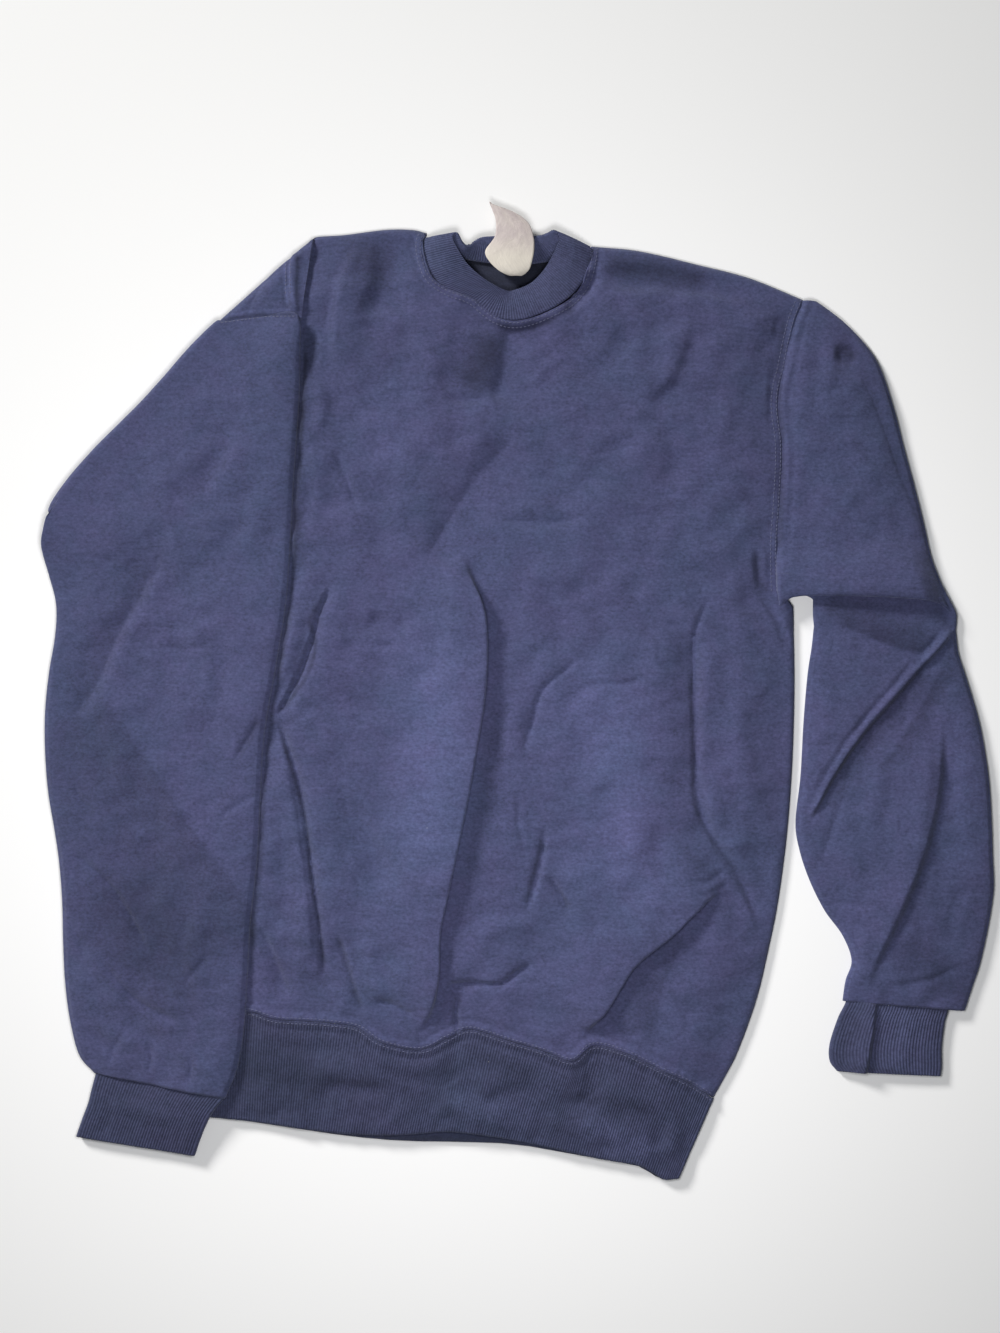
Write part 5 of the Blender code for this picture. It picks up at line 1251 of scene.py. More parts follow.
    def flap_heights(self, line: np.ndarray, shares: np.ndarray, puff: float,
                     support: HeightMap) -> tuple[np.ndarray, np.ndarray]:
        """Outer heights of the two layers that lie on top.

        Args:
            line: plan of the points across the sleeve.
            shares: their shares of its width.
            puff: fullness of this section.
            support: the top of what the sleeve lies on.

        Returns:
            Heights of the upper layer's and of the lower layer's outer sides.
        """
        lower = support.at(line) + LAYER_GAP
        full = np.sin(np.pi * shares) ** 0.38
        fold, _ = relief(line, self.FOLDS)
        drift = line * np.array([0.5, 1.0])
        fold += 1.9 * ripple(line, 40.0, 13.0) + 1.5 * ripple(line, 17.0, 14.0)
        fold += 0.7 * ripple(drift, 8.5, 16.0) + 0.2 * ripple(drift, 4.0, 17.0)
        upper = lower + TUBE_GAP + FLEECE + full * (puff + np.maximum(fold, -0.7 * puff))
        return upper, lower

    def ground(self, points: np.ndarray) -> np.ndarray:
        """Those of the points that lie under it, left of its right edge."""
        edge = np.array(self.EDGE)
        return points[points[:, 0] < np.interp(-points[:, 1], -edge[:, 1], edge[:, 0])]

    def under_rings(self) -> list[np.ndarray]:
        """The sections of the part that lies under the fold, from the armhole out."""
        shares = np.linspace(0.0, 1.0, self.across)
        under_shares = np.linspace(0.0, 1.0, self.under)
        low, high = np.full(self.across, 0.05), np.full(self.under, TUBE_GAP + FLEECE)
        return [tube_ring(row[:2], row[2:4], low, high, shares, under_shares, FLEECE, self.turns)
                for row in catmull(np.array(self.UNDER), 6)]

    def build(self, support: HeightMap) -> bpy.types.Object:
        """Makes the left sleeve on what it lies on."""
        shares = np.linspace(0.0, 1.0, self.across)
        under_shares = np.linspace(0.0, 1.0, self.under)
        rings = self.under_rings()
        low_end, high_end = np.array(self.UNDER[-1][:2]), np.array(self.UNDER[-1][2:])
        way = high_end - low_end
        outward = np.array([-way[1], way[0]]) / np.linalg.norm(way)
        last = rings[-1]
        reach = FOLD_AXIS - last[:, 2]
        place = ((last[:, :2] - low_end) @ way) / (way @ way)
        curve = spline(self.BOW, 60)
        bow = outward * np.interp(place, curve[:, 0], curve[:, 1])[:, None]
        corner = 0.45 + 0.55 * np.sqrt(1.0 - (1.0 - np.clip(place / 0.10, 0.0, 1.0)) ** 2)
        corner *= 0.7 + 0.3 * np.sqrt(1.0 - (1.0 - np.clip((1.0 - place) / 0.07, 0.0, 1.0)) ** 2)
        for n, ring in enumerate(rings):
            ring[:, :2] += bow * smooth_step((n + 1.0) / len(rings))
        for angle in np.linspace(0.0, np.pi, 16)[1:]:
            plan = last[:, :2] + outward * (reach * corner * math.sin(angle))[:, None]
            rings.append(np.column_stack([plan, FOLD_AXIS - reach * math.cos(angle)]))
        folded = len(rings)
        table = np.array([(*self.UNDER[-1], 0.4), *self.ROWS])
        for n, row in enumerate(even_rows(table, self.spacing)[1:]):
            line, _ = section(row[:2], row[2:4], shares, FLEECE, self.turns)
            under_line, _ = section(row[:2], row[2:4], under_shares, FLEECE, self.turns)
            upper, _ = self.flap_heights(line, shares, row[4], support)
            _, lower = self.flap_heights(under_line, under_shares, row[4], support)
            ring = tube_ring(row[:2], row[2:4], upper, lower, shares, under_shares, FLEECE, self.turns)
            ring[:, :2] += bow * (1.0 - smooth_step((n + 1.0) / self.settle))
            rings.append(ring)
        grid = np.array(rings)
        for n in range(self.settle):
            keep = smooth_step((n + 1.0) / self.settle)
            row = folded + n
            grid[row, :, 2] = keep * grid[row, :, 2] + (1.0 - keep) * grid[folded - 1, :, 2]
        spare = (len(grid) - 1) % 3
        grid = grid[spare:]
        return Shell("sleeve_left_cloth", grid, FLEECE, closed=True, downward=True, panel=True).build()


@dataclass
class RightSleeve:
    """The right sleeve: it hangs beside the body, its top layer tucked under itself at the elbow."""

    across: int = 165
    under: int = 48
    turns: int = 6
    spacing: float = 1.7
    reach: float = 14.0         # depth of the tuck under the elbow fold
    rise: float = 34.0          # length over which the sleeve swells up to that fold
    elbow_swell: float = 0.85   # how much higher the fold stands towards the elbow
    tuck_from: float = 194.6    # where the tucked layer's left end is at first,
    tuck_to: float = 221.6      # and where it is at last

    # Left edge, right edge and fullness, from the shoulder down to the elbow.
    UPPER_ARM = [
        (212.6, 291.8, 223.1, 291.4, 0.2), (209.6, 284.6, 233.6, 283.9, 1.3),
        (205.9, 275.6, 245.6, 274.1, 2.6), (201.4, 259.1, 261.4, 256.9, 3.6),
        (197.2, 240.4, 271.9, 238.9, 4.6), (193.5, 211.9, 281.6, 209.6, 5.4),
        (196.5, 181.9, 289.1, 180.4, 5.8), (195.0, 154.1, 296.6, 152.6, 5.8),
        (193.1, 127.9, 303.4, 125.6, 5.8), (192.4, 103.1, 309.4, 99.4, 5.8),
        (192.4, 87.4, 316.1, 81.4, 5.8),
    ]
    # The fold's edge at the elbow, then the lower layer's two edges under it.
    ELBOW_EDGE = [(195.4, 63.4), (200.6, 67.9), (206.6, 70.1), (221.6, 70.9), (262.9, 70.1), (301.1, 67.5),
                  (316.1, 63.4), (327.4, 55.1)]
    LOWER_ENDS = [
        (194.6, 79.9, 321.4, 70.9), (217.1, 70.1, 327.4, 58.9),
        (221.6, 60.4, 328.1, 52.1),
    ]
    FOREARM = [
        (221.2, 48.4, 327.4, 44.6, 3.6), (219.4, 31.9, 329.6, 27.4, 4.4),
        (216.4, 11.6, 335.6, 8.6, 5.0), (213.4, -23.6, 345.4, -25.1, 5.4),
        (211.1, -64.1, 352.1, -64.9, 5.8), (207.4, -98.6, 354.4, -100.1, 5.8),
        (210.4, -119.6, 355.1, -124.1, 5.6), (217.9, -142.1, 355.9, -146.6, 5.4),
        (229.1, -164.6, 353.6, -166.1, 5.0), (242.6, -183.4, 349.9, -185.6, 4.6),
        (249.4, -202.1, 345.4, -205.1, 4.0), (244.9, -217.1, 339.4, -223.1, 3.2),
        (242.6, -232.1, 334.1, -239.6, 2.4),
    ]
    # The tuck's section: how far past the fold's edge the outer side lies, how high, and its share
    # of the way from the upper layer's left end to the forearm's.
    TUCK = [(-14.0, 12.1, 0.0), (-9.0, 12.3, 0.0), (-5.0, 12.5, 0.0), (-2.4, 12.5, 0.0), (-0.7, 12.0, 0.0),
            (0.2, 10.8, 0.0), (-0.3, 9.4, 0.05), (-2.2, 8.4, 0.2), (-6.0, 7.6, 0.5), (-9.5, 7.0, 0.8),
            (-11.5, 6.2, 1.0), (-11.9, 5.4, 1.0), (-11.0, 4.9, 1.0), (-8.0, 4.8, 1.0), (-3.0, 4.9, 1.0),
            (3.0, 5.4, 1.0), (10.0, 6.4, 1.0)]
    UPPER_FOLDS = [
        Fold([(233.6, 250.1), (243.4, 249.4), (253.9, 247.1)], -3.2, 12, 10, taper=0.4),
        crease([(250.9, 247.9), (259.1, 226.9), (268.1, 208.1), (283.1, 166.1), (295.1, 136.9),
                (306.4, 106.1)], -2.6, 12, 12),
        Fold([(211.1, 270.4), (212.6, 232.9), (209.6, 187.9)], 1.6, 12, 12),
        crease([(211.1, 165.4), (220.1, 157.9), (233.6, 159.4)], -1.0, 7, 7),
        Fold([(206.6, 127.9), (226.1, 112.9), (248.6, 109.1)], 0.9, 11, 11),
        Fold([(256.1, 97.9), (278.6, 88.9), (304.9, 86.6)], 0.9, 9, 9),
    ]
    FOREARM_FOLDS = [
        Fold([(324.4, 45.4), (312.4, 31.9), (290.6, 7.9), (248.6, -41.6), (217.1, -93.4)], 5.6, 3.6, 4.0,
             taper=0.05),
        Fold([(308.6, 30.4), (290.6, 7.9), (248.6, -41.6), (220.1, -86.6)], -5.0, 46, 4, taper=0.12),
        Fold([(322.1, 49.9), (309.4, 35.6), (286.9, 10.9), (244.9, -38.6), (214.1, -89.6)], -1.6, 2, 5,
             taper=0.1),
        Fold([(313.1, -18.4), (310.9, -70.9), (299.6, -119.6), (283.1, -160.9), (262.1, -208.1),
              (258.4, -230.6)], 5.4, 7, 34, lean=3.0, taper=0.2),
        crease([(224.6, 51.4), (239.6, 51.4), (253.9, 41.6), (270.4, 33.4), (288.4, 27.4), (307.1, 30.4)],
               -3.0, 24, 46, taper=0.15),
        crease([(272.6, -221.6), (302.6, -216.4), (336.4, -203.6)], -1.6, 6, 8),
        crease([(245.6, -73.1), (233.6, -104.6), (223.1, -136.1)], -1.4, 7, 7),
        crease([(224.6, -140.6), (232.1, -149.6), (238.1, -158.6)], -1.3, 5, 5),
        crease([(230.6, -160.9), (245.6, -158.6), (265.1, -161.6)], -1.3, 5, 6),
        crease([(244.1, -176.6), (251.6, -187.1), (257.6, -203.6)], -1.5, 6, 6),
        Fold([(262.1, -172.1), (256.1, -194.6), (257.6, -220.9)], 1.5, 9, 9),
        Fold([(331.1, 0.4), (334.9, -52.1), (332.6, -112.1)], 1.2, 14, 12),
        Fold([(271.1, -52.1), (263.6, -97.1), (268.1, -134.6)], 1.2, 14, 12),
        Fold([(222.4, 15.4), (230.6, -7.1), (226.1, -44.6)], 1.1, 10, 10),
        Fold([(331.1, -142.1), (323.6, -172.1), (325.1, -202.1)], -1.1, 9, 9),
    ]

    def fullness(self, line: np.ndarray, shares: np.ndarray, puff: np.ndarray, top: bool) -> np.ndarray:
        """How far the top layer stands off the lower one, with its folds.

        Args:
            line: plan of the points across the sleeve.
            shares: their shares of its width.
            puff: fullness of this section.
            top: whether they are above the elbow fold, where the forearm's folds don't reach.

        Returns:
            The height to add at each point.
        """
        fold, _ = relief(line, self.UPPER_FOLDS if top else self.FOREARM_FOLDS)
        drift = line * np.array([0.5, 1.0])
        fold += 1.7 * ripple(line, 40.0, 23.0) + 1.4 * ripple(line, 16.0, 24.0)
        fold += 0.7 * ripple(drift, 8.5, 26.0) + 0.2 * ripple(drift, 4.0, 27.0)
        return np.sin(np.pi * shares) ** 0.38 * (puff + np.maximum(fold, -0.75 * puff))

    def plan_of(self, row: np.ndarray) -> np.ndarray:
        """The plan of the points across one section."""
        return section(row[:2], row[2:4], np.linspace(0.0, 1.0, self.across), FLEECE, self.turns)[0]

    def ring(self, row: np.ndarray, upper: np.ndarray, line: np.ndarray | None = None) -> np.ndarray:
        """One section of the tube, flat on the surface below.

        Args:
            row: its left and right edges.
            upper: heights across its upper layer.
            line: plan of that layer, if not straight across.

        Returns:
            The section's points.
        """
        shares, under_shares = np.linspace(0.0, 1.0, self.across), np.linspace(0.0, 1.0, self.under)
        flat = np.full(self.under, 0.05)
        return tube_ring(row[:2], row[2:4], upper, flat, shares, under_shares, FLEECE, self.turns, line)

    def tucked(self, last: np.ndarray, even: np.ndarray, swell: np.ndarray) -> list[np.ndarray]:
        """The sections where the upper layer turns down under itself at the elbow.

        Args:
            last: the section above them.
            even: how far each point across the sleeve takes part.
            swell: how much fuller the fold is there.

        Returns:
            The sections.
        """
        shares = np.linspace(0.0, 1.0, self.across)
        tube = TUBE_GAP + FLEECE
        edge = spline(self.ELBOW_EDGE, 200)
        tuck = catmull(np.array(self.TUCK), 3)
        lower = catmull(np.array([self.UPPER_ARM[-1][:4], *self.LOWER_ENDS, self.FOREARM[0][:4]]), 60)
        rings = []
        for n, (past, height, aside) in enumerate(tuck):
            share = (n + 1.0) / (len(tuck) + 1.0)
            row = lower[int(share * (len(lower) - 1))]
            straight = self.plan_of(row)
            first_x = self.tuck_from + aside * (self.tuck_to - self.tuck_from)
            places = first_x + shares * (straight[-1, 0] - first_x)
            fold_y = np.interp(places, edge[:, 0], edge[:, 1])
            line = np.column_stack([places, even * (fold_y - past) + (1.0 - even) * straight[:, 1]])
            settled = smooth_step(share * 3.0)
            line = settled * line + (1.0 - settled) * (last[:self.across, :2] - np.array([0.0, 4.0 * share]))
            full = 1.0 + (swell - 1.0) * smooth_step((height - 5.0) / 6.0)
            upper = tube + (height - tube) * even ** 0.7 * full
            upper = settled * upper + (1.0 - settled) * np.maximum(last[:self.across, 2], upper)
            rings.append(self.ring(row, upper, line))
        return rings

    def build(self, armhole: np.ndarray) -> bpy.types.Object:
        """Makes the right sleeve beside the armhole's line."""
        shares = np.linspace(0.0, 1.0, self.across)
        tube = TUBE_GAP + FLEECE
        edge = spline(self.ELBOW_EDGE, 200)
        even = 1.0 - smooth_step((shares - 0.84) / 0.16)
        swell = 1.0 + self.elbow_swell * smooth_step(shares / 0.6)
        crest = tube + (self.TUCK[0][1] - tube) * swell
        rings = []
        for row in even_rows(np.array(self.UPPER_ARM), self.spacing):
            line = self.plan_of(row)
            upper = tube + self.fullness(line, shares, row[4], True) + 0.6 * seam_relief(line, armhole, 7.0)
            above = line[:, 1] - np.interp(line[:, 0], edge[:, 0], edge[:, 1])
            lift = smooth_step(1.0 - (above - self.reach) / self.rise) * even ** 0.7
            rings.append(self.ring(row, upper + (crest - upper) * lift))
        rings += self.tucked(rings[-1], even, swell)
        for row in even_rows(np.array(self.FOREARM), self.spacing):
            upper = tube + self.fullness(self.plan_of(row), shares, row[4], False)
            rings.append(self.ring(row, upper))
        spare = (len(rings) - 1) % 3
        grid = np.array(rings[:len(rings) - spare])
        return Shell("sleeve_right_cloth", grid, FLEECE, closed=True, downward=True, panel=True).build()


LEFT_CUFF = [
    (-316.1, -285.4, -219.4, -303.8, 0.4), (-319.9, -299.6, -226.9, -313.1, 1.2),
    (-322.1, -308.6, -231.4, -320.6, 1.4), (-326.6, -320.6, -236.6, -332.6, 1.4),
    (-331.1, -333.4, -241.9, -347.6, 1.0),
]
LEFT_CUFF_FOLDS = [
    Fold([(-313.9, -307.1), (-283.9, -313.1), (-246.4, -322.1)], 0.9, 9, 9),
    Fold([(-241.9, -311.6), (-244.9, -329.6), (-249.4, -344.6)], 0.8, 7, 7),
    Fold([(-304.9, -293.6), (-306.4, -314.6), (-310.9, -335.6)], -0.7, 7, 7),
]
RIGHT_CUFF = [
    (247.9, -224.6, 322.1, -230.6, 0.2), (244.1, -235.1, 321.4, -240.4, 0.9),
    (238.9, -245.6, 319.1, -248.6, 1.8), (232.9, -264.4, 316.9, -266.6, 1.8),
    (232.9, -277.1, 316.9, -280.1, 1.6), (238.1, -284.6, 316.1, -288.4, 1.0),
]
RIGHT_CUFF_FOLDS = [
    Fold([(265.1, -232.1), (262.1, -259.1), (256.9, -289.1)], 4.4, 4, 20, lean=1.6, taper=0.05),
    Fold([(293.6, -239.6), (289.1, -262.1), (286.1, -284.6)], 0.6, 12, 12),
]


@dataclass
class Cuff:
    """A ribbed cuff: a flat open tube.

    Attributes:
        name: of the finished piece.
        rows: its left edge, its right edge and its fullness, from the seam down.
        folds: in its upper layer.
        seed: which unevenness it has.
    """

    name: str
    rows: Table
    folds: list[Fold]
    seed: float
    pitch: float = 2.1
    relief: float = 0.32
    under: int = 30
    turns: int = 5
    steps: int = 12

    def build(self, support: HeightMap | None) -> bpy.types.Object:
        """Makes the cuff on its support, or on the surface if None."""
        table = np.array(self.rows)
        width = np.linalg.norm(table[1, 2:4] - table[1, :2]) - TUBE_GAP - RIB_CLOTH
        ribs = int(width / self.pitch)
        across = 4 * ribs + 1
        spare = -(across + self.under + 2 * self.turns) % 4
        under = self.under + spare
        shares, under_shares = np.linspace(0.0, 1.0, across), np.linspace(0.0, 1.0, under)
        rib = self.relief * np.cos(np.pi / 2.0 * np.arange(across))
        rings = []
        for row in catmull(table, self.steps):
            line, _ = section(row[:2], row[2:4], shares, RIB_CLOTH, self.turns)
            under_line, _ = section(row[:2], row[2:4], under_shares, RIB_CLOTH, self.turns)
            low = 0.05 if support is None else support.at(line) + LAYER_GAP
            lower = np.full(under, 0.05) if support is None else support.at(under_line) + LAYER_GAP
            fold, _ = relief(line, self.folds)
            fold += 0.35 * ripple(line, 22.0, self.seed) + 0.2 * ripple(line, 9.0, self.seed + 1.0)
            full = np.sin(np.pi * shares) ** 0.5 * (row[4] + np.maximum(fold, -0.8 * row[4]))
            upper = low + TUBE_GAP + RIB_CLOTH + full + rib
            rings.append(tube_ring(row[:2], row[2:4], upper, lower, shares, under_shares,
                                   RIB_CLOTH, self.turns))
        grid = np.array(rings)
        ribs = np.zeros(grid.shape[1])
        ribs[:across] = rib / self.relief
        return Shell(self.name, grid, RIB_CLOTH, closed=True, downward=True, coarse=4, rib=ribs).build()


@dataclass
class Waistband:
    """The waistband: a flat open tube whose ribbed front layer follows the front's folds."""

    pitch: float = 2.1
    relief: float = 0.32
    rows: int = 37
    under: int = 72
    turns: int = 5
    seam_gap: float = -0.8
    fullness: float = 2.0
    end: float = 20.0           # length over which the layers draw in at each side
    ease: float = 1.6           # how fast it settles below the front's folds

    FRONT_EDGE = [(-232.1, -319.1), (-212.6, -320.6), (-181.9, -324.4), (-130.1, -331.1), (-88.9, -331.9),
                  (-51.4, -329.6), (-13.9, -334.1), (23.6, -341.6), (61.1, -349.9), (91.1, -355.1),
                  (107.6, -364.9), (120.4, -364.9)]
    BACK_EDGE = [(-232.1, -319.1), (-212.6, -321.4), (-181.9, -325.9), (-130.1, -333.4), (-88.9, -337.1),
                 (-51.4, -337.9), (-6.4, -339.4), (23.6, -343.9), (61.1, -350.6), (91.1, -355.9),
                 (107.6, -365.6), (120.4, -364.9)]
    BACK_SEAM = [(-230.6, -242.6), (-163.9, -244.1), (-88.9, -254.6), (-13.9, -265.9), (61.1, -284.6),
                 (145.9, -306.4)]
    FOLDS = [
        Fold([(-163.9, -284.6), (-111.4, -279.4), (-66.4, -286.1)], 2.2, 16, 22),
        Fold([(-107.6, -269.6), (-73.9, -275.6), (-47.6, -265.1)], 3.4, 12, 12),
        Fold([(-36.4, -298.1), (-13.9, -288.4), (8.6, -283.1)], 2.4, 20, 16),
        Fold([(61.1, -283.1), (98.6, -298.1), (128.6, -313.1)], 2.6, 12, 20),
        Fold([(19.9, -314.6), (53.6, -325.9), (91.1, -333.4)], 2.0, 16, 16),
        Fold([(-192.4, -253.1), (-171.4, -263.6), (-147.4, -266.6), (-124.9, -262.1)], -1.8, 9, 9),
        Fold([(-150.4, -290.6), (-126.4, -296.6), (-94.9, -299.6)], -1.3, 10, 9),
        Fold([(-112.9, -274.1), (-90.4, -286.1), (-58.9, -290.6), (-36.4, -278.6)], -1.8, 7, 8),
        Fold([(-197.6, -292.1), (-192.4, -305.6), (-195.4, -317.6)], 1.0, 12, 12),
        Fold([(-28.9, -265.9), (-13.9, -274.1), (1.1, -275.6)], 1.4, 9, 9),
        Fold([(16.1, -280.1), (35.6, -292.1), (49.1, -307.1)], 1.8, 12, 14),
        Fold([(55.1, -274.1), (53.6, -289.1), (58.1, -304.1)], -1.6, 8, 8),
        Fold([(-66.4, -307.1), (-36.4, -314.6), (-4.9, -322.1)], 1.4, 14, 12),
        Fold([(91.1, -307.1), (102.4, -325.1), (106.1, -344.6)], -1.2, 12, 12),
        Fold([(121.1, -307.1), (118.1, -325.9), (112.1, -352.1)], 1.3, 12, 12),
    ]

    def build(self, front: Front) -> bpy.types.Object:
        """Makes the waistband under the front's hem."""
        hem = front.grid[0]
        width = np.linalg.norm(np.diff(hem[:, :2], axis=0), axis=1).sum()
        ribs = int(width / self.pitch)
        across = 4 * ribs + 1
        under = self.under - (across + self.under + 2 * self.turns) % 4
        shares = np.linspace(0.0, 1.0, across)
        seam = resample(hem, shares)
        kernel = np.ones(25) / 25.0
        seam_z = np.convolve(np.pad(seam[:, 2], 12, mode="edge"), kernel, mode="valid")
        seam_plan = inset(resample(spline(front.HEM_SEAM, 200), shares), -self.seam_gap)
        edge = resample(spline(self.FRONT_EDGE, 160), shares)
        back_shares = np.linspace(0.0, 1.0, under)
        back_seam = resample(spline(self.BACK_SEAM, 100), back_shares)
        back_edge = resample(spline(self.BACK_EDGE, 160), back_shares)
        rib = self.relief * np.cos(np.pi / 2.0 * np.arange(across))
        radius = (TUBE_GAP + RIB_CLOTH) / 2.0
        rest = TUBE_GAP + RIB_CLOTH
        angles = np.linspace(np.pi / 2.0, -np.pi / 2.0, self.turns + 2)[1:-1]
        hem_line = spline(front.HEM_SEAM, 160)
        rings = []
        for t in np.linspace(0.0, 1.0, self.rows):
            plan = seam_plan + t * (edge - seam_plan)
            fold, _ = relief(plan, self.FOLDS)
            fold = 1.9 * fold * smooth_step(2.0 * t) * (1.0 - 0.5 * t ** 4)
            fold += (1.8 * ripple(plan, 26.0, 31.0) + 0.8 * ripple(plan, 10.0, 32.0)) * min(1.0, 4.0 * t)
            full = rest + self.fullness * np.sin(np.pi * shares) ** 0.5 + np.maximum(fold, -self.fullness)
            z = full + (np.maximum(seam_z - 0.5, rest) - full) * (1.0 - t) ** self.ease
            z += seam_relief(plan, hem_line, 1.5) * 0.9 + rib * smooth_step(t / 0.06)
            back = back_seam + t * (back_edge - back_seam)
            from_left, from_right = plan[:, 0] - plan[0, 0], plan[-1, 0] - plan[:, 0]
            plan[:, 0] += radius * np.clip(1.0 - from_left / self.end, 0.0, 1.0) ** 2
            plan[:, 0] -= radius * np.clip(1.0 - from_right / self.end, 0.0, 1.0) ** 2
            stretch = (plan[-1, 0] - plan[0, 0]) / (back[-1, 0] - back[0, 0])
            back[:, 0] = plan[0, 0] + (back[:, 0] - back[0, 0]) * stretch
            ends = []
            for k, sign in ((-1, 1.0), (0, -1.0)):
                turn = angles if sign > 0 else angles[::-1]
                middle, half = (z[k] + 0.05) / 2.0, (z[k] - 0.05) / 2.0
                down = (1.0 - np.sin(turn)) / 2.0
                ends.append(np.column_stack([plan[k, 0] + sign * radius * np.cos(turn),
                                             plan[k, 1] + down * (back[k, 1] - plan[k, 1]),
                                             middle + half * np.sin(turn)]))
            rings.append(np.vstack([np.column_stack([plan, z]), ends[0],
                                    np.column_stack([back, np.full(under, 0.05)])[::-1], ends[1]]))
        self.grid = np.array(rings)
        ribs = np.zeros(self.grid.shape[1])
        ribs[:across] = rib / self.relief
        return Shell("waistband_rib", self.grid, RIB_CLOTH, closed=True, downward=True, coarse=4,
                     rib=ribs).build()


@dataclass
class Neckband:
    """The neckband: a ribbed ring sewn to the neckline and buckled at its two sides."""

    pitch: float = 1.7
    relief: float = 0.3
    rows: int = 17
    thickness: float = 1.8

    # Sewn edge and its height, free edge and its height, round the neck from the front middle.
    STATIONS = [
        (-1.1, 276.4, 8.2, -4.9, 298.1, 8.4), (20.6, 283.1, 8.3, 8.6, 303.4, 8.6),
        (37.9, 294.0, 7.2, 18.4, 313.1, 9.2), (48.8, 307.9, 5.8, 24.4, 322.9, 10.2),
        (53.2, 321.4, 5.0, 28.1, 330.4, 11.6), (54.4, 328.9, 4.9, 30.4, 337.1, 11.6),
        (50.6, 332.2, 3.6, 25.9, 342.4, 10.6), (42.4, 330.4, 3.4, 20.6, 340.1, 9.6),
        (31.1, 323.6, 3.0, 14.6, 338.6, 9.0), (12.4, 319.9, 2.9, 2.6, 338.6, 9.4),
        (-9.4, 319.1, 2.9, -13.9, 338.6, 9.6), (-30.4, 321.4, 2.9, -27.4, 337.5, 9.4),
        (-47.6, 325.1, 3.0, -36.4, 331.1, 8.8), (-59.6, 330.4, 3.2, -40.9, 333.0, 9.2),
        (-67.9, 337.9, 3.6, -45.4, 340.5, 10.4), (-71.6, 333.4, 4.9, -49.1, 337.1, 11.6),
        (-70.9, 323.6, 5.8, -45.4, 328.9, 11.6), (-65.6, 310.1, 7.4, -38.6, 318.4, 9.8),
        (-52.1, 298.9, 8.0, -28.1, 308.6, 8.9), (-33.4, 291.4, 7.6, -17.6, 301.9, 8.4),
        (-19.9, 280.1, 6.9, -10.9, 298.9, 8.3),
    ]
    BOW = 1.3               # how far it rounds out between its two edges

    def build(self) -> bpy.types.Object:
        """Makes the neckband."""
        dense = catmull(np.array(self.STATIONS), 40, closed=True)
        dense = np.vstack([dense, dense[:1]])
        middle = 0.6 * dense[:, :3] + 0.4 * dense[:, 3:]
        reach = np.concatenate([[0.0], np.cumsum(np.linalg.norm(np.diff(middle, axis=0), axis=1))])
        ribs = int(reach[-1] / self.pitch)
        places = np.linspace(0.0, reach[-1], 4 * ribs + 1)[:-1]
        even = np.stack([np.interp(places, reach, dense[:, k]) for k in range(6)], axis=-1)
        rib = self.relief * np.cos(np.pi / 2.0 * np.arange(len(even)))
        rings = []
        for t in np.linspace(0.0, 1.0, self.rows):
            row = even[:, :3] + t * (even[:, 3:] - even[:, :3])
            row[:, 2] += self.BOW * math.sin(math.pi * t) + 0.25 * ripple(row[:, :2], 9.0, 41.0)
            rings.append(row)
        grid = np.array(rings)
        grid += normals_of(grid, True) * (self.thickness / 2.0 + rib)[None, :, None]
        shell = Shell("neckband_rib", grid, self.thickness, closed=True, coarse=1, rib=rib / self.relief)
        return shell.build()


@dataclass
class Label:
    """The size label: a blank satin tab, curled over at its foot and lying up over the neckband."""

    across: int = 31
    steps: int = 12

    # Its left edge, its right edge and its height, from the curl to its loose corner.
    ROWS = [
        (-16.1, 321.4, 8.6, 325.1, 5.0), (-16.9, 316.1, 7.9, 317.6, 6.0),
        (-10.9, 311.2, 5.6, 311.6, 7.6), (-5.6, 309.0, 1.9, 309.0, 9.6),
        (-13.9, 312.0, 7.5, 312.8, 11.8), (-21.8, 319.1, 10.1, 319.9, 12.9),
        (-24.8, 327.0, 11.6, 328.9, 13.2), (-17.6, 338.2, 10.9, 338.6, 12.2),
        (-17.2, 350.6, 6.8, 349.1, 10.2), (-19.5, 357.8, -4.1, 357.0, 9.2),
        (-22.1, 364.5, -19.9, 363.0, 8.2),
    ]

    def build(self) -> bpy.types.Object:
        """Makes the label."""
        shares = np.linspace(0.0, 1.0, self.across)[:, None]
        rings = []
        for row in catmull(np.array(self.ROWS), self.steps):
            line = row[:2] + shares * (row[2:4] - row[:2])
            z = row[4] + 0.9 * np.sin(np.pi * shares[:, 0]) + 0.3 * ripple(line, 9.0, 51.0)
            rings.append(np.column_stack([line, z]))
        return Shell("neck_label_satin", np.array(rings), SATIN).build()


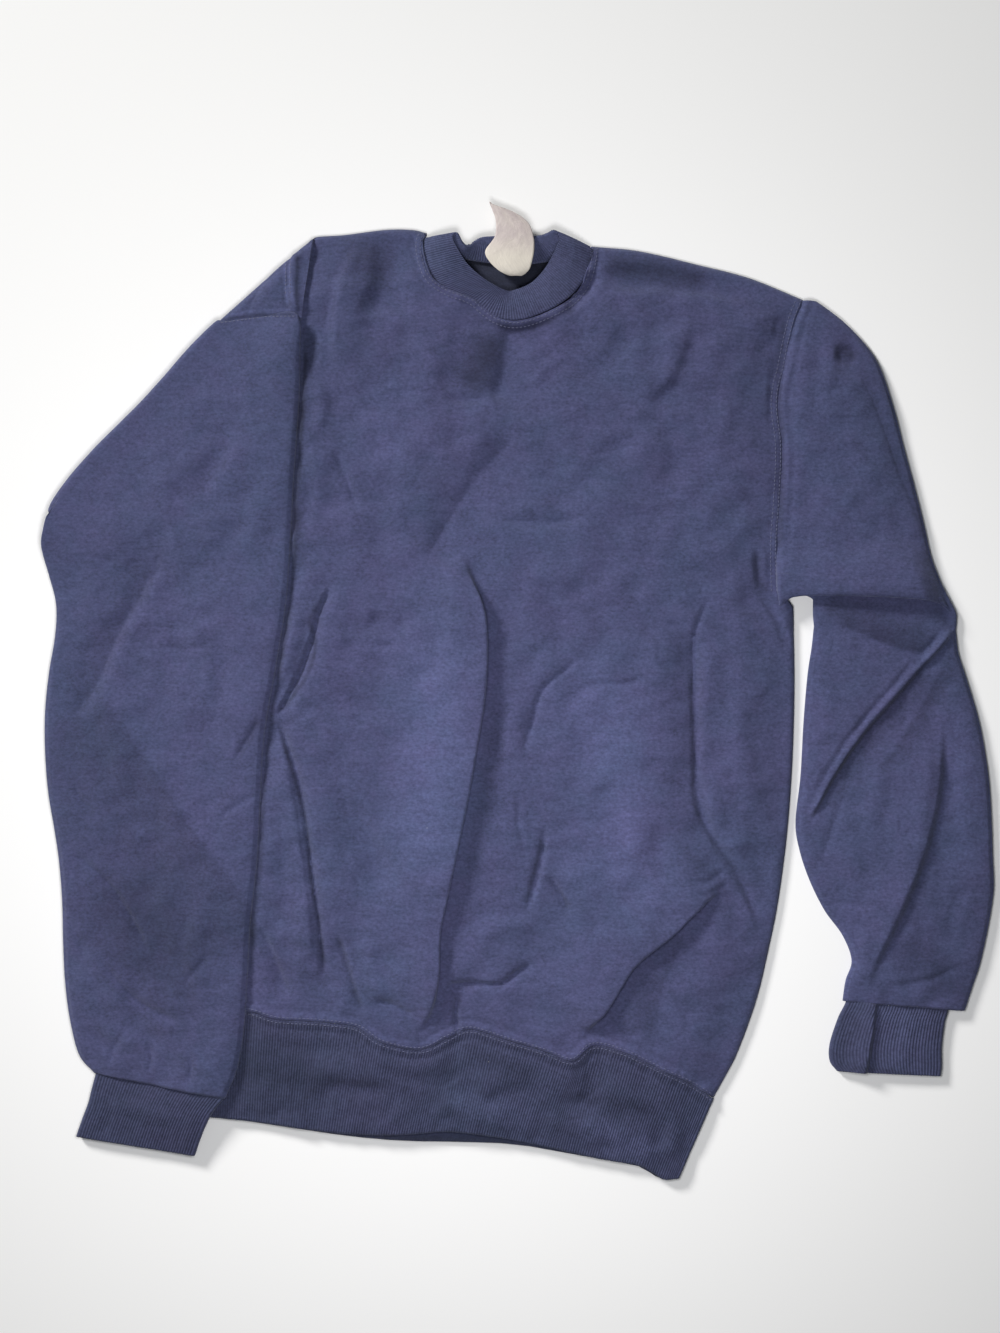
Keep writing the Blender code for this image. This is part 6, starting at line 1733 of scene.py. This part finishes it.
@dataclass
class StitchRun:
    """Rows of machine stitches laid on the finished cloth.

    Attributes:
        name: of the finished piece.
        lines: the rows, each a path in plan.
        pitch: from one stitch to the next.
        length: of a stitch.
        width: of the thread.
    """

    name: str
    lines: list[np.ndarray]
    pitch: float = 3.0
    length: float = 2.3
    width: float = 0.55

    def stitch(self, start: np.ndarray, end: np.ndarray, up: np.ndarray) -> tuple[list, list]:
        """One stitch: a short plump bar that dives into the cloth at both its ends.

        Args:
            start: where it begins, on the cloth.
            end: where it ends.
            up: the way off the cloth.

        Returns:
            Its points and its faces.
        """
        way = (end - start) / np.linalg.norm(end - start)
        side = np.cross(up, way)
        points, faces = [], []
        shares, wide, high = (0.0, 0.3, 0.7, 1.0), (0.55, 1.0, 1.0, 0.55), (-0.5, 0.28, 0.28, -0.5)
        for share, spread, rise in zip(shares, wide, high):
            middle = start + share * (end - start) + up * rise * self.width
            for turn in range(4):
                angle = math.pi * (0.25 + 0.5 * turn)
                offset = (side * math.cos(angle) + up * math.sin(angle) * 0.8) * 0.7 * self.width * spread
                points.append(middle + offset)
        for ring in range(3):
            for turn in range(4):
                a, b = 4 * ring + turn, 4 * ring + (turn + 1) % 4
                faces.append([a, b, b + 4, a + 4][::-1])
        return points, faces + [[0, 1, 2, 3], [15, 14, 13, 12]]

    def build(self, cloth: list[bpy.types.Object]) -> bpy.types.Object:
        """Makes the stitches on top of the given pieces."""
        trees = [BVHTree.FromObject(piece, bpy.context.evaluated_depsgraph_get()) for piece in cloth]
        verts: list[np.ndarray] = []
        faces: list[list[int]] = []
        for line in self.lines:
            length = np.linalg.norm(np.diff(line, axis=0), axis=1).sum()
            count = max(2, int(length / self.pitch))
            shares = (np.arange(count) + 0.5) / count
            reach = 0.5 * self.length / length
            starts, ends = (resample(line, shares + side * reach) + CENTRE_SHIFT for side in (-1.0, 1.0))
            for start, end in zip(starts, ends):
                spots = []
                for place in (start, end):
                    above = Vector((*place * MM, 0.1))
                    hits = [tree.ray_cast(above, Vector((0.0, 0.0, -1.0))) for tree in trees]
                    hits = [hit for hit in hits if hit[0] is not None]
                    if hits:
                        spots.append(max(hits, key=lambda hit: hit[0].z))
                if len(spots) < 2 or abs(spots[0][0].z - spots[1][0].z) > 2.0 * MM:
                    continue
                up = np.array(spots[0][1] + spots[1][1])
                up /= np.linalg.norm(up)
                points, made = self.stitch(*(np.array(spot[0]) / MM for spot in spots), up)
                faces += [[index + len(verts) for index in face] for face in made]
                verts += points
        return new_piece(self.name, np.array(verts), faces)


@dataclass
class Studio:
    """A pale floor, soft light and the camera above."""

    centre: tuple[float, float] = (-0.013735, 0.01816)
    height: float = 1.3889
    lens: float = 50.0
    key_turn: float = 47.0      # degrees to the left of the neck's direction
    key_rise: float = 26.0
    key_reach: float = 4.0
    key_size: float = 0.9
    key_power: float = 163.0
    fill_power: float = 3.35
    fill_size: float = 0.3
    fill_place: tuple[float, float, float] = (-0.03, -0.09, 0.70)
    sky_colour: tuple[float, float, float] = (0.9, 0.97, 1.0)
    sky_power: float = 0.12
    floor_size: float = 8.0
    floor_drop: float = 0.0008  # of the floor below the garment

    def floor(self) -> bpy.types.Object:
        """Makes the pale floor."""
        bpy.ops.object.select_all(action="DESELECT")
        bpy.ops.mesh.primitive_plane_add(size=self.floor_size, location=(0.0, 0.0, -self.floor_drop))
        floor = bpy.context.object
        floor.name = "studio_floor"
        finish = bpy.data.materials.new("floor_pale")
        finish.use_nodes = True
        shader = finish.node_tree.nodes["Principled BSDF"]
        shader.inputs["Base Color"].default_value = (0.95, 0.95, 0.95, 1.0)
        shader.inputs["Roughness"].default_value = 0.9
        floor.data.materials.append(finish)
        return floor

    def lamp(self, name: str, size: float, power: float, place: tuple[float, float, float],
             aim: tuple[float, float, float], colour: tuple[float, float, float]) -> None:
        """Adds a round lamp that faces a place on the garment."""
        data = bpy.data.lights.new(name, "AREA")
        data.shape = "DISK"
        data.size = size
        data.energy = power
        data.color = colour
        lamp = bpy.data.objects.new(name, data)
        lamp.location = place
        lamp.rotation_euler = (Vector(aim) - Vector(place)).to_track_quat("-Z", "Y").to_euler()
        lamp.visible_camera = False
        bpy.context.scene.collection.objects.link(lamp)

    def build(self) -> None:
        """Sets up floor, lamps, world and camera."""
        self.floor()
        turn, rise = math.radians(self.key_turn), math.radians(self.key_rise)
        way = Vector((-math.sin(turn) * math.cos(rise), math.cos(turn) * math.cos(rise), math.sin(rise)))
        self.lamp("key", self.key_size, self.key_power, tuple(way * self.key_reach), (0.0, 0.0, 0.0),
                  (1.0, 0.985, 0.96))
        self.lamp("fill", self.fill_size, self.fill_power, self.fill_place, (*self.fill_place[:2], 0.0),
                  (1.0, 0.99, 1.0))
        world = bpy.data.worlds.new("studio")
        world.use_nodes = True
        sky = world.node_tree.nodes["Background"]
        sky.inputs["Color"].default_value = (*self.sky_colour, 1.0)
        sky.inputs["Strength"].default_value = self.sky_power
        bpy.context.scene.world = world
        bpy.context.scene.view_settings.view_transform = "Standard"
        data = bpy.data.cameras.new("camera")
        data.lens = self.lens
        camera = bpy.data.objects.new("camera", data)
        camera.location = (*self.centre, self.height)
        bpy.context.scene.collection.objects.link(camera)
        bpy.context.scene.camera = camera


class Held(Enum):
    """How a piece of cloth lies."""

    LAID = "laid"
    FOLDED = "folded"


@dataclass(frozen=True)
class Cut:
    """What a piece of cloth is cut to, all round on a tube.

    Attributes:
        width: across the body, or round a tube, in metres.
        length: down it, in metres.
        area: of the cut, in square metres.
        rests_on: the pieces that it lies on.
        held: how it lies.
    """

    width: float
    length: float
    area: float
    rests_on: tuple[str, ...] = ()
    held: Held = Held.LAID

    def declare(self, piece: bpy.types.Object, stitches: list[bpy.types.Object]) -> None:
        list(self.rests_on)
        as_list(stitches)


CUTS = {
    "front": Cut(0.50, 0.66, 0.245, ("back_cloth",)),
    "back": Cut(0.50, 0.66, 0.235),
    "waistband": Cut(0.78, 0.075, 0.052, ("back_cloth",)),
    "neckband": Cut(0.40, 0.032, 0.0115, ("front_cloth", "back_cloth")),
    "sleeve_left": Cut(0.46, 0.62, 0.20, ("front_cloth", "waistband_rib"), Held.FOLDED),
    "sleeve_right": Cut(0.32, 0.56, 0.13, (), Held.FOLDED),
    "cuff_left": Cut(0.20, 0.065, 0.012, ("waistband_rib",)),
    "cuff_right": Cut(0.17, 0.065, 0.0105),
    "neck_label": Cut(0.037, 0.075, 0.0023, ("neckband_rib",)),
}


def corner_support(front: Front) -> HeightMap:
    """The top of what the back's folded corner lies on."""
    support = HeightMap()
    support.add(front.grid.reshape(-1, 3))
    support.tent(0.5, 5.0)
    support.soften(3)
    return support


def sleeve_support(sleeve: LeftSleeve, below: list[np.ndarray], back_piece: bpy.types.Object) -> HeightMap:
    """The top of what the left sleeve lies on.

    Args:
        sleeve: the left sleeve, not built yet.
        below: the grids of points of the cloth below it.
        back_piece: the finished back, whose folded corner is below it too.

    Returns:
        The heights.
    """
    support = HeightMap()
    for grid in below:
        support.add(sleeve.ground(grid.reshape(-1, 3)))
    corners = np.array([corner.co for corner in back_piece.data.vertices]) / MM
    corners[:, :2] -= CENTRE_SHIFT
    support.add(corners)
    for ring in sleeve.under_rings():
        support.add(ring)
    support.tent(0.05, 7.5)
    support.tent(0.11, 60.0)
    support.soften(8)
    return support


def build_cloth() -> dict[str, bpy.types.Object]:
    """Builds the sewn pieces, each after those that it lies on.

    Returns:
        The pieces, by the solid that each stands for.
    """
    front, waistband, left_sleeve = Front(), Waistband(), LeftSleeve()
    cloth = {"front": front.build()}
    cloth["waistband"] = waistband.build(front)
    cloth["neckband"] = Neckband().build()
    cloth["back"] = Back().build(front, corner_support(front))
    support = sleeve_support(left_sleeve, [front.grid, waistband.grid], cloth["back"])
    cloth["sleeve_left"] = left_sleeve.build(support)
    cloth["sleeve_right"] = RightSleeve().build(spline(Front.RIGHT_SIDE[11:], 90))
    cloth["cuff_left"] = Cuff("cuff_left_rib", LEFT_CUFF, LEFT_CUFF_FOLDS, 61.0).build(support)
    cloth["cuff_right"] = Cuff("cuff_right_rib", RIGHT_CUFF, RIGHT_CUFF_FOLDS, 71.0).build(None)
    cloth["neck_label"] = Label().build()
    return cloth


def dress(cloth: dict[str, bpy.types.Object]) -> None:
    """Gives each piece its finish, in the place of its solid."""
    effects = Effects()
    fleece = KnitFinish("navy_fleece").build(effects)
    # The inside's finish is painted shade: far darker than the outside, for where it shows deep in the neck
    # opening.
    inside_painted_shade = KnitFinish("navy_fleece_inside_painted_shade", (0.020, 0.022, 0.044), (0.017, 0.021, 0.042),
                        lint=0.0).build(effects)
    rib = KnitFinish("navy_rib", (0.0525, 0.0560, 0.115), (0.0465, 0.0570, 0.111), wale=476.0,
                     relief=0.00006, fuzz=0.0002, rib_painted_shade=0.24, lint=0.08).build(effects)
    collar = KnitFinish("navy_rib_collar", (0.0740, 0.0780, 0.162), (0.0660, 0.0800, 0.157), wale=588.0,
                        relief=0.00006, fuzz=0.0002, rib_painted_shade=0.24, lint=0.08).build(effects)
    satin = SatinFinish().build()
    looks = [
        ("front", "fleece", fleece), ("back", "fleece", fleece), ("waistband", "rib", rib),
        ("neckband", "rib", collar), ("sleeve_left", "fleece", fleece), ("sleeve_right", "fleece", fleece),
        ("cuff_left", "rib", rib), ("cuff_right", "rib", rib), ("neck_label", "label", satin),
    ]
    for node, slot, finish in looks:
        piece = cloth[node]
        piece.data.materials.append(finish)
        if node == "back":
            piece.data.materials.append(inside_painted_shade)
        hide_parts(node)
        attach(piece, "root")
        LOG.info("%s: %d faces", piece.name, len(piece.data.polygons))


def sew(cloth: dict[str, bpy.types.Object]) -> dict[str, list[bpy.types.Object]]:
    """Lays the rows of stitches on the cloth.

    Args:
        cloth: the finished pieces, by the solid that each stands for.

    Returns:
        The stitches, by the solid of the piece that they belong to.
    """
    thread = ThreadFinish().build()
    hem = spline(Front.HEM_SEAM, 200)
    neck = spline(Front.NECKLINE, 120)
    armhole = spline(Front.RIGHT_SIDE[12:], 120)
    shoulder = np.array([(-171.8, 325.1), (-171.4, 294.4)])
    left_armhole = np.array([(-222.4, 274.1), (-188.6, 278.2), (-165.4, 277.5)])
    seams = [
        ("hem_stitches", [inset(hem, 2.0)[8:], inset(hem, -2.2)[8:]], ("front", "waistband")),
        ("neck_stitches", [inset(neck, -1.6), inset(neck, -4.8)], ("front",)),
        ("armhole_stitches", [inset(armhole, 2.4), inset(armhole, 6.2)], ("front",)),
        ("shoulder_stitches", [inset(shoulder, 1.8), inset(shoulder, -1.8)], ("back",)),
        ("left_armhole_stitches", [left_armhole], ("sleeve_left",)),
    ]
    sewn: dict[str, list[bpy.types.Object]] = {}
    for name, lines, nodes in seams:
        piece = StitchRun(name, lines).build([cloth[node] for node in nodes])
        sewn.setdefault(nodes[0], []).append(piece)
        piece.data.materials.append(thread)
        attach(piece, "root")
        LOG.info("%s: %d faces", piece.name, len(piece.data.polygons))
    return sewn


def main() -> None:
    """Builds the garment, dresses it and sets up the studio."""
    logging.basicConfig(level=logging.INFO, format="%(name)s: %(message)s")
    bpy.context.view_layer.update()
    cloth = build_cloth()
    dress(cloth)
    sewn = sew(cloth)
    for node, cut in CUTS.items():
        cut.declare(cloth[node], sewn.get(node, []))
    Studio().build()


if __name__ == "__main__":
    main()
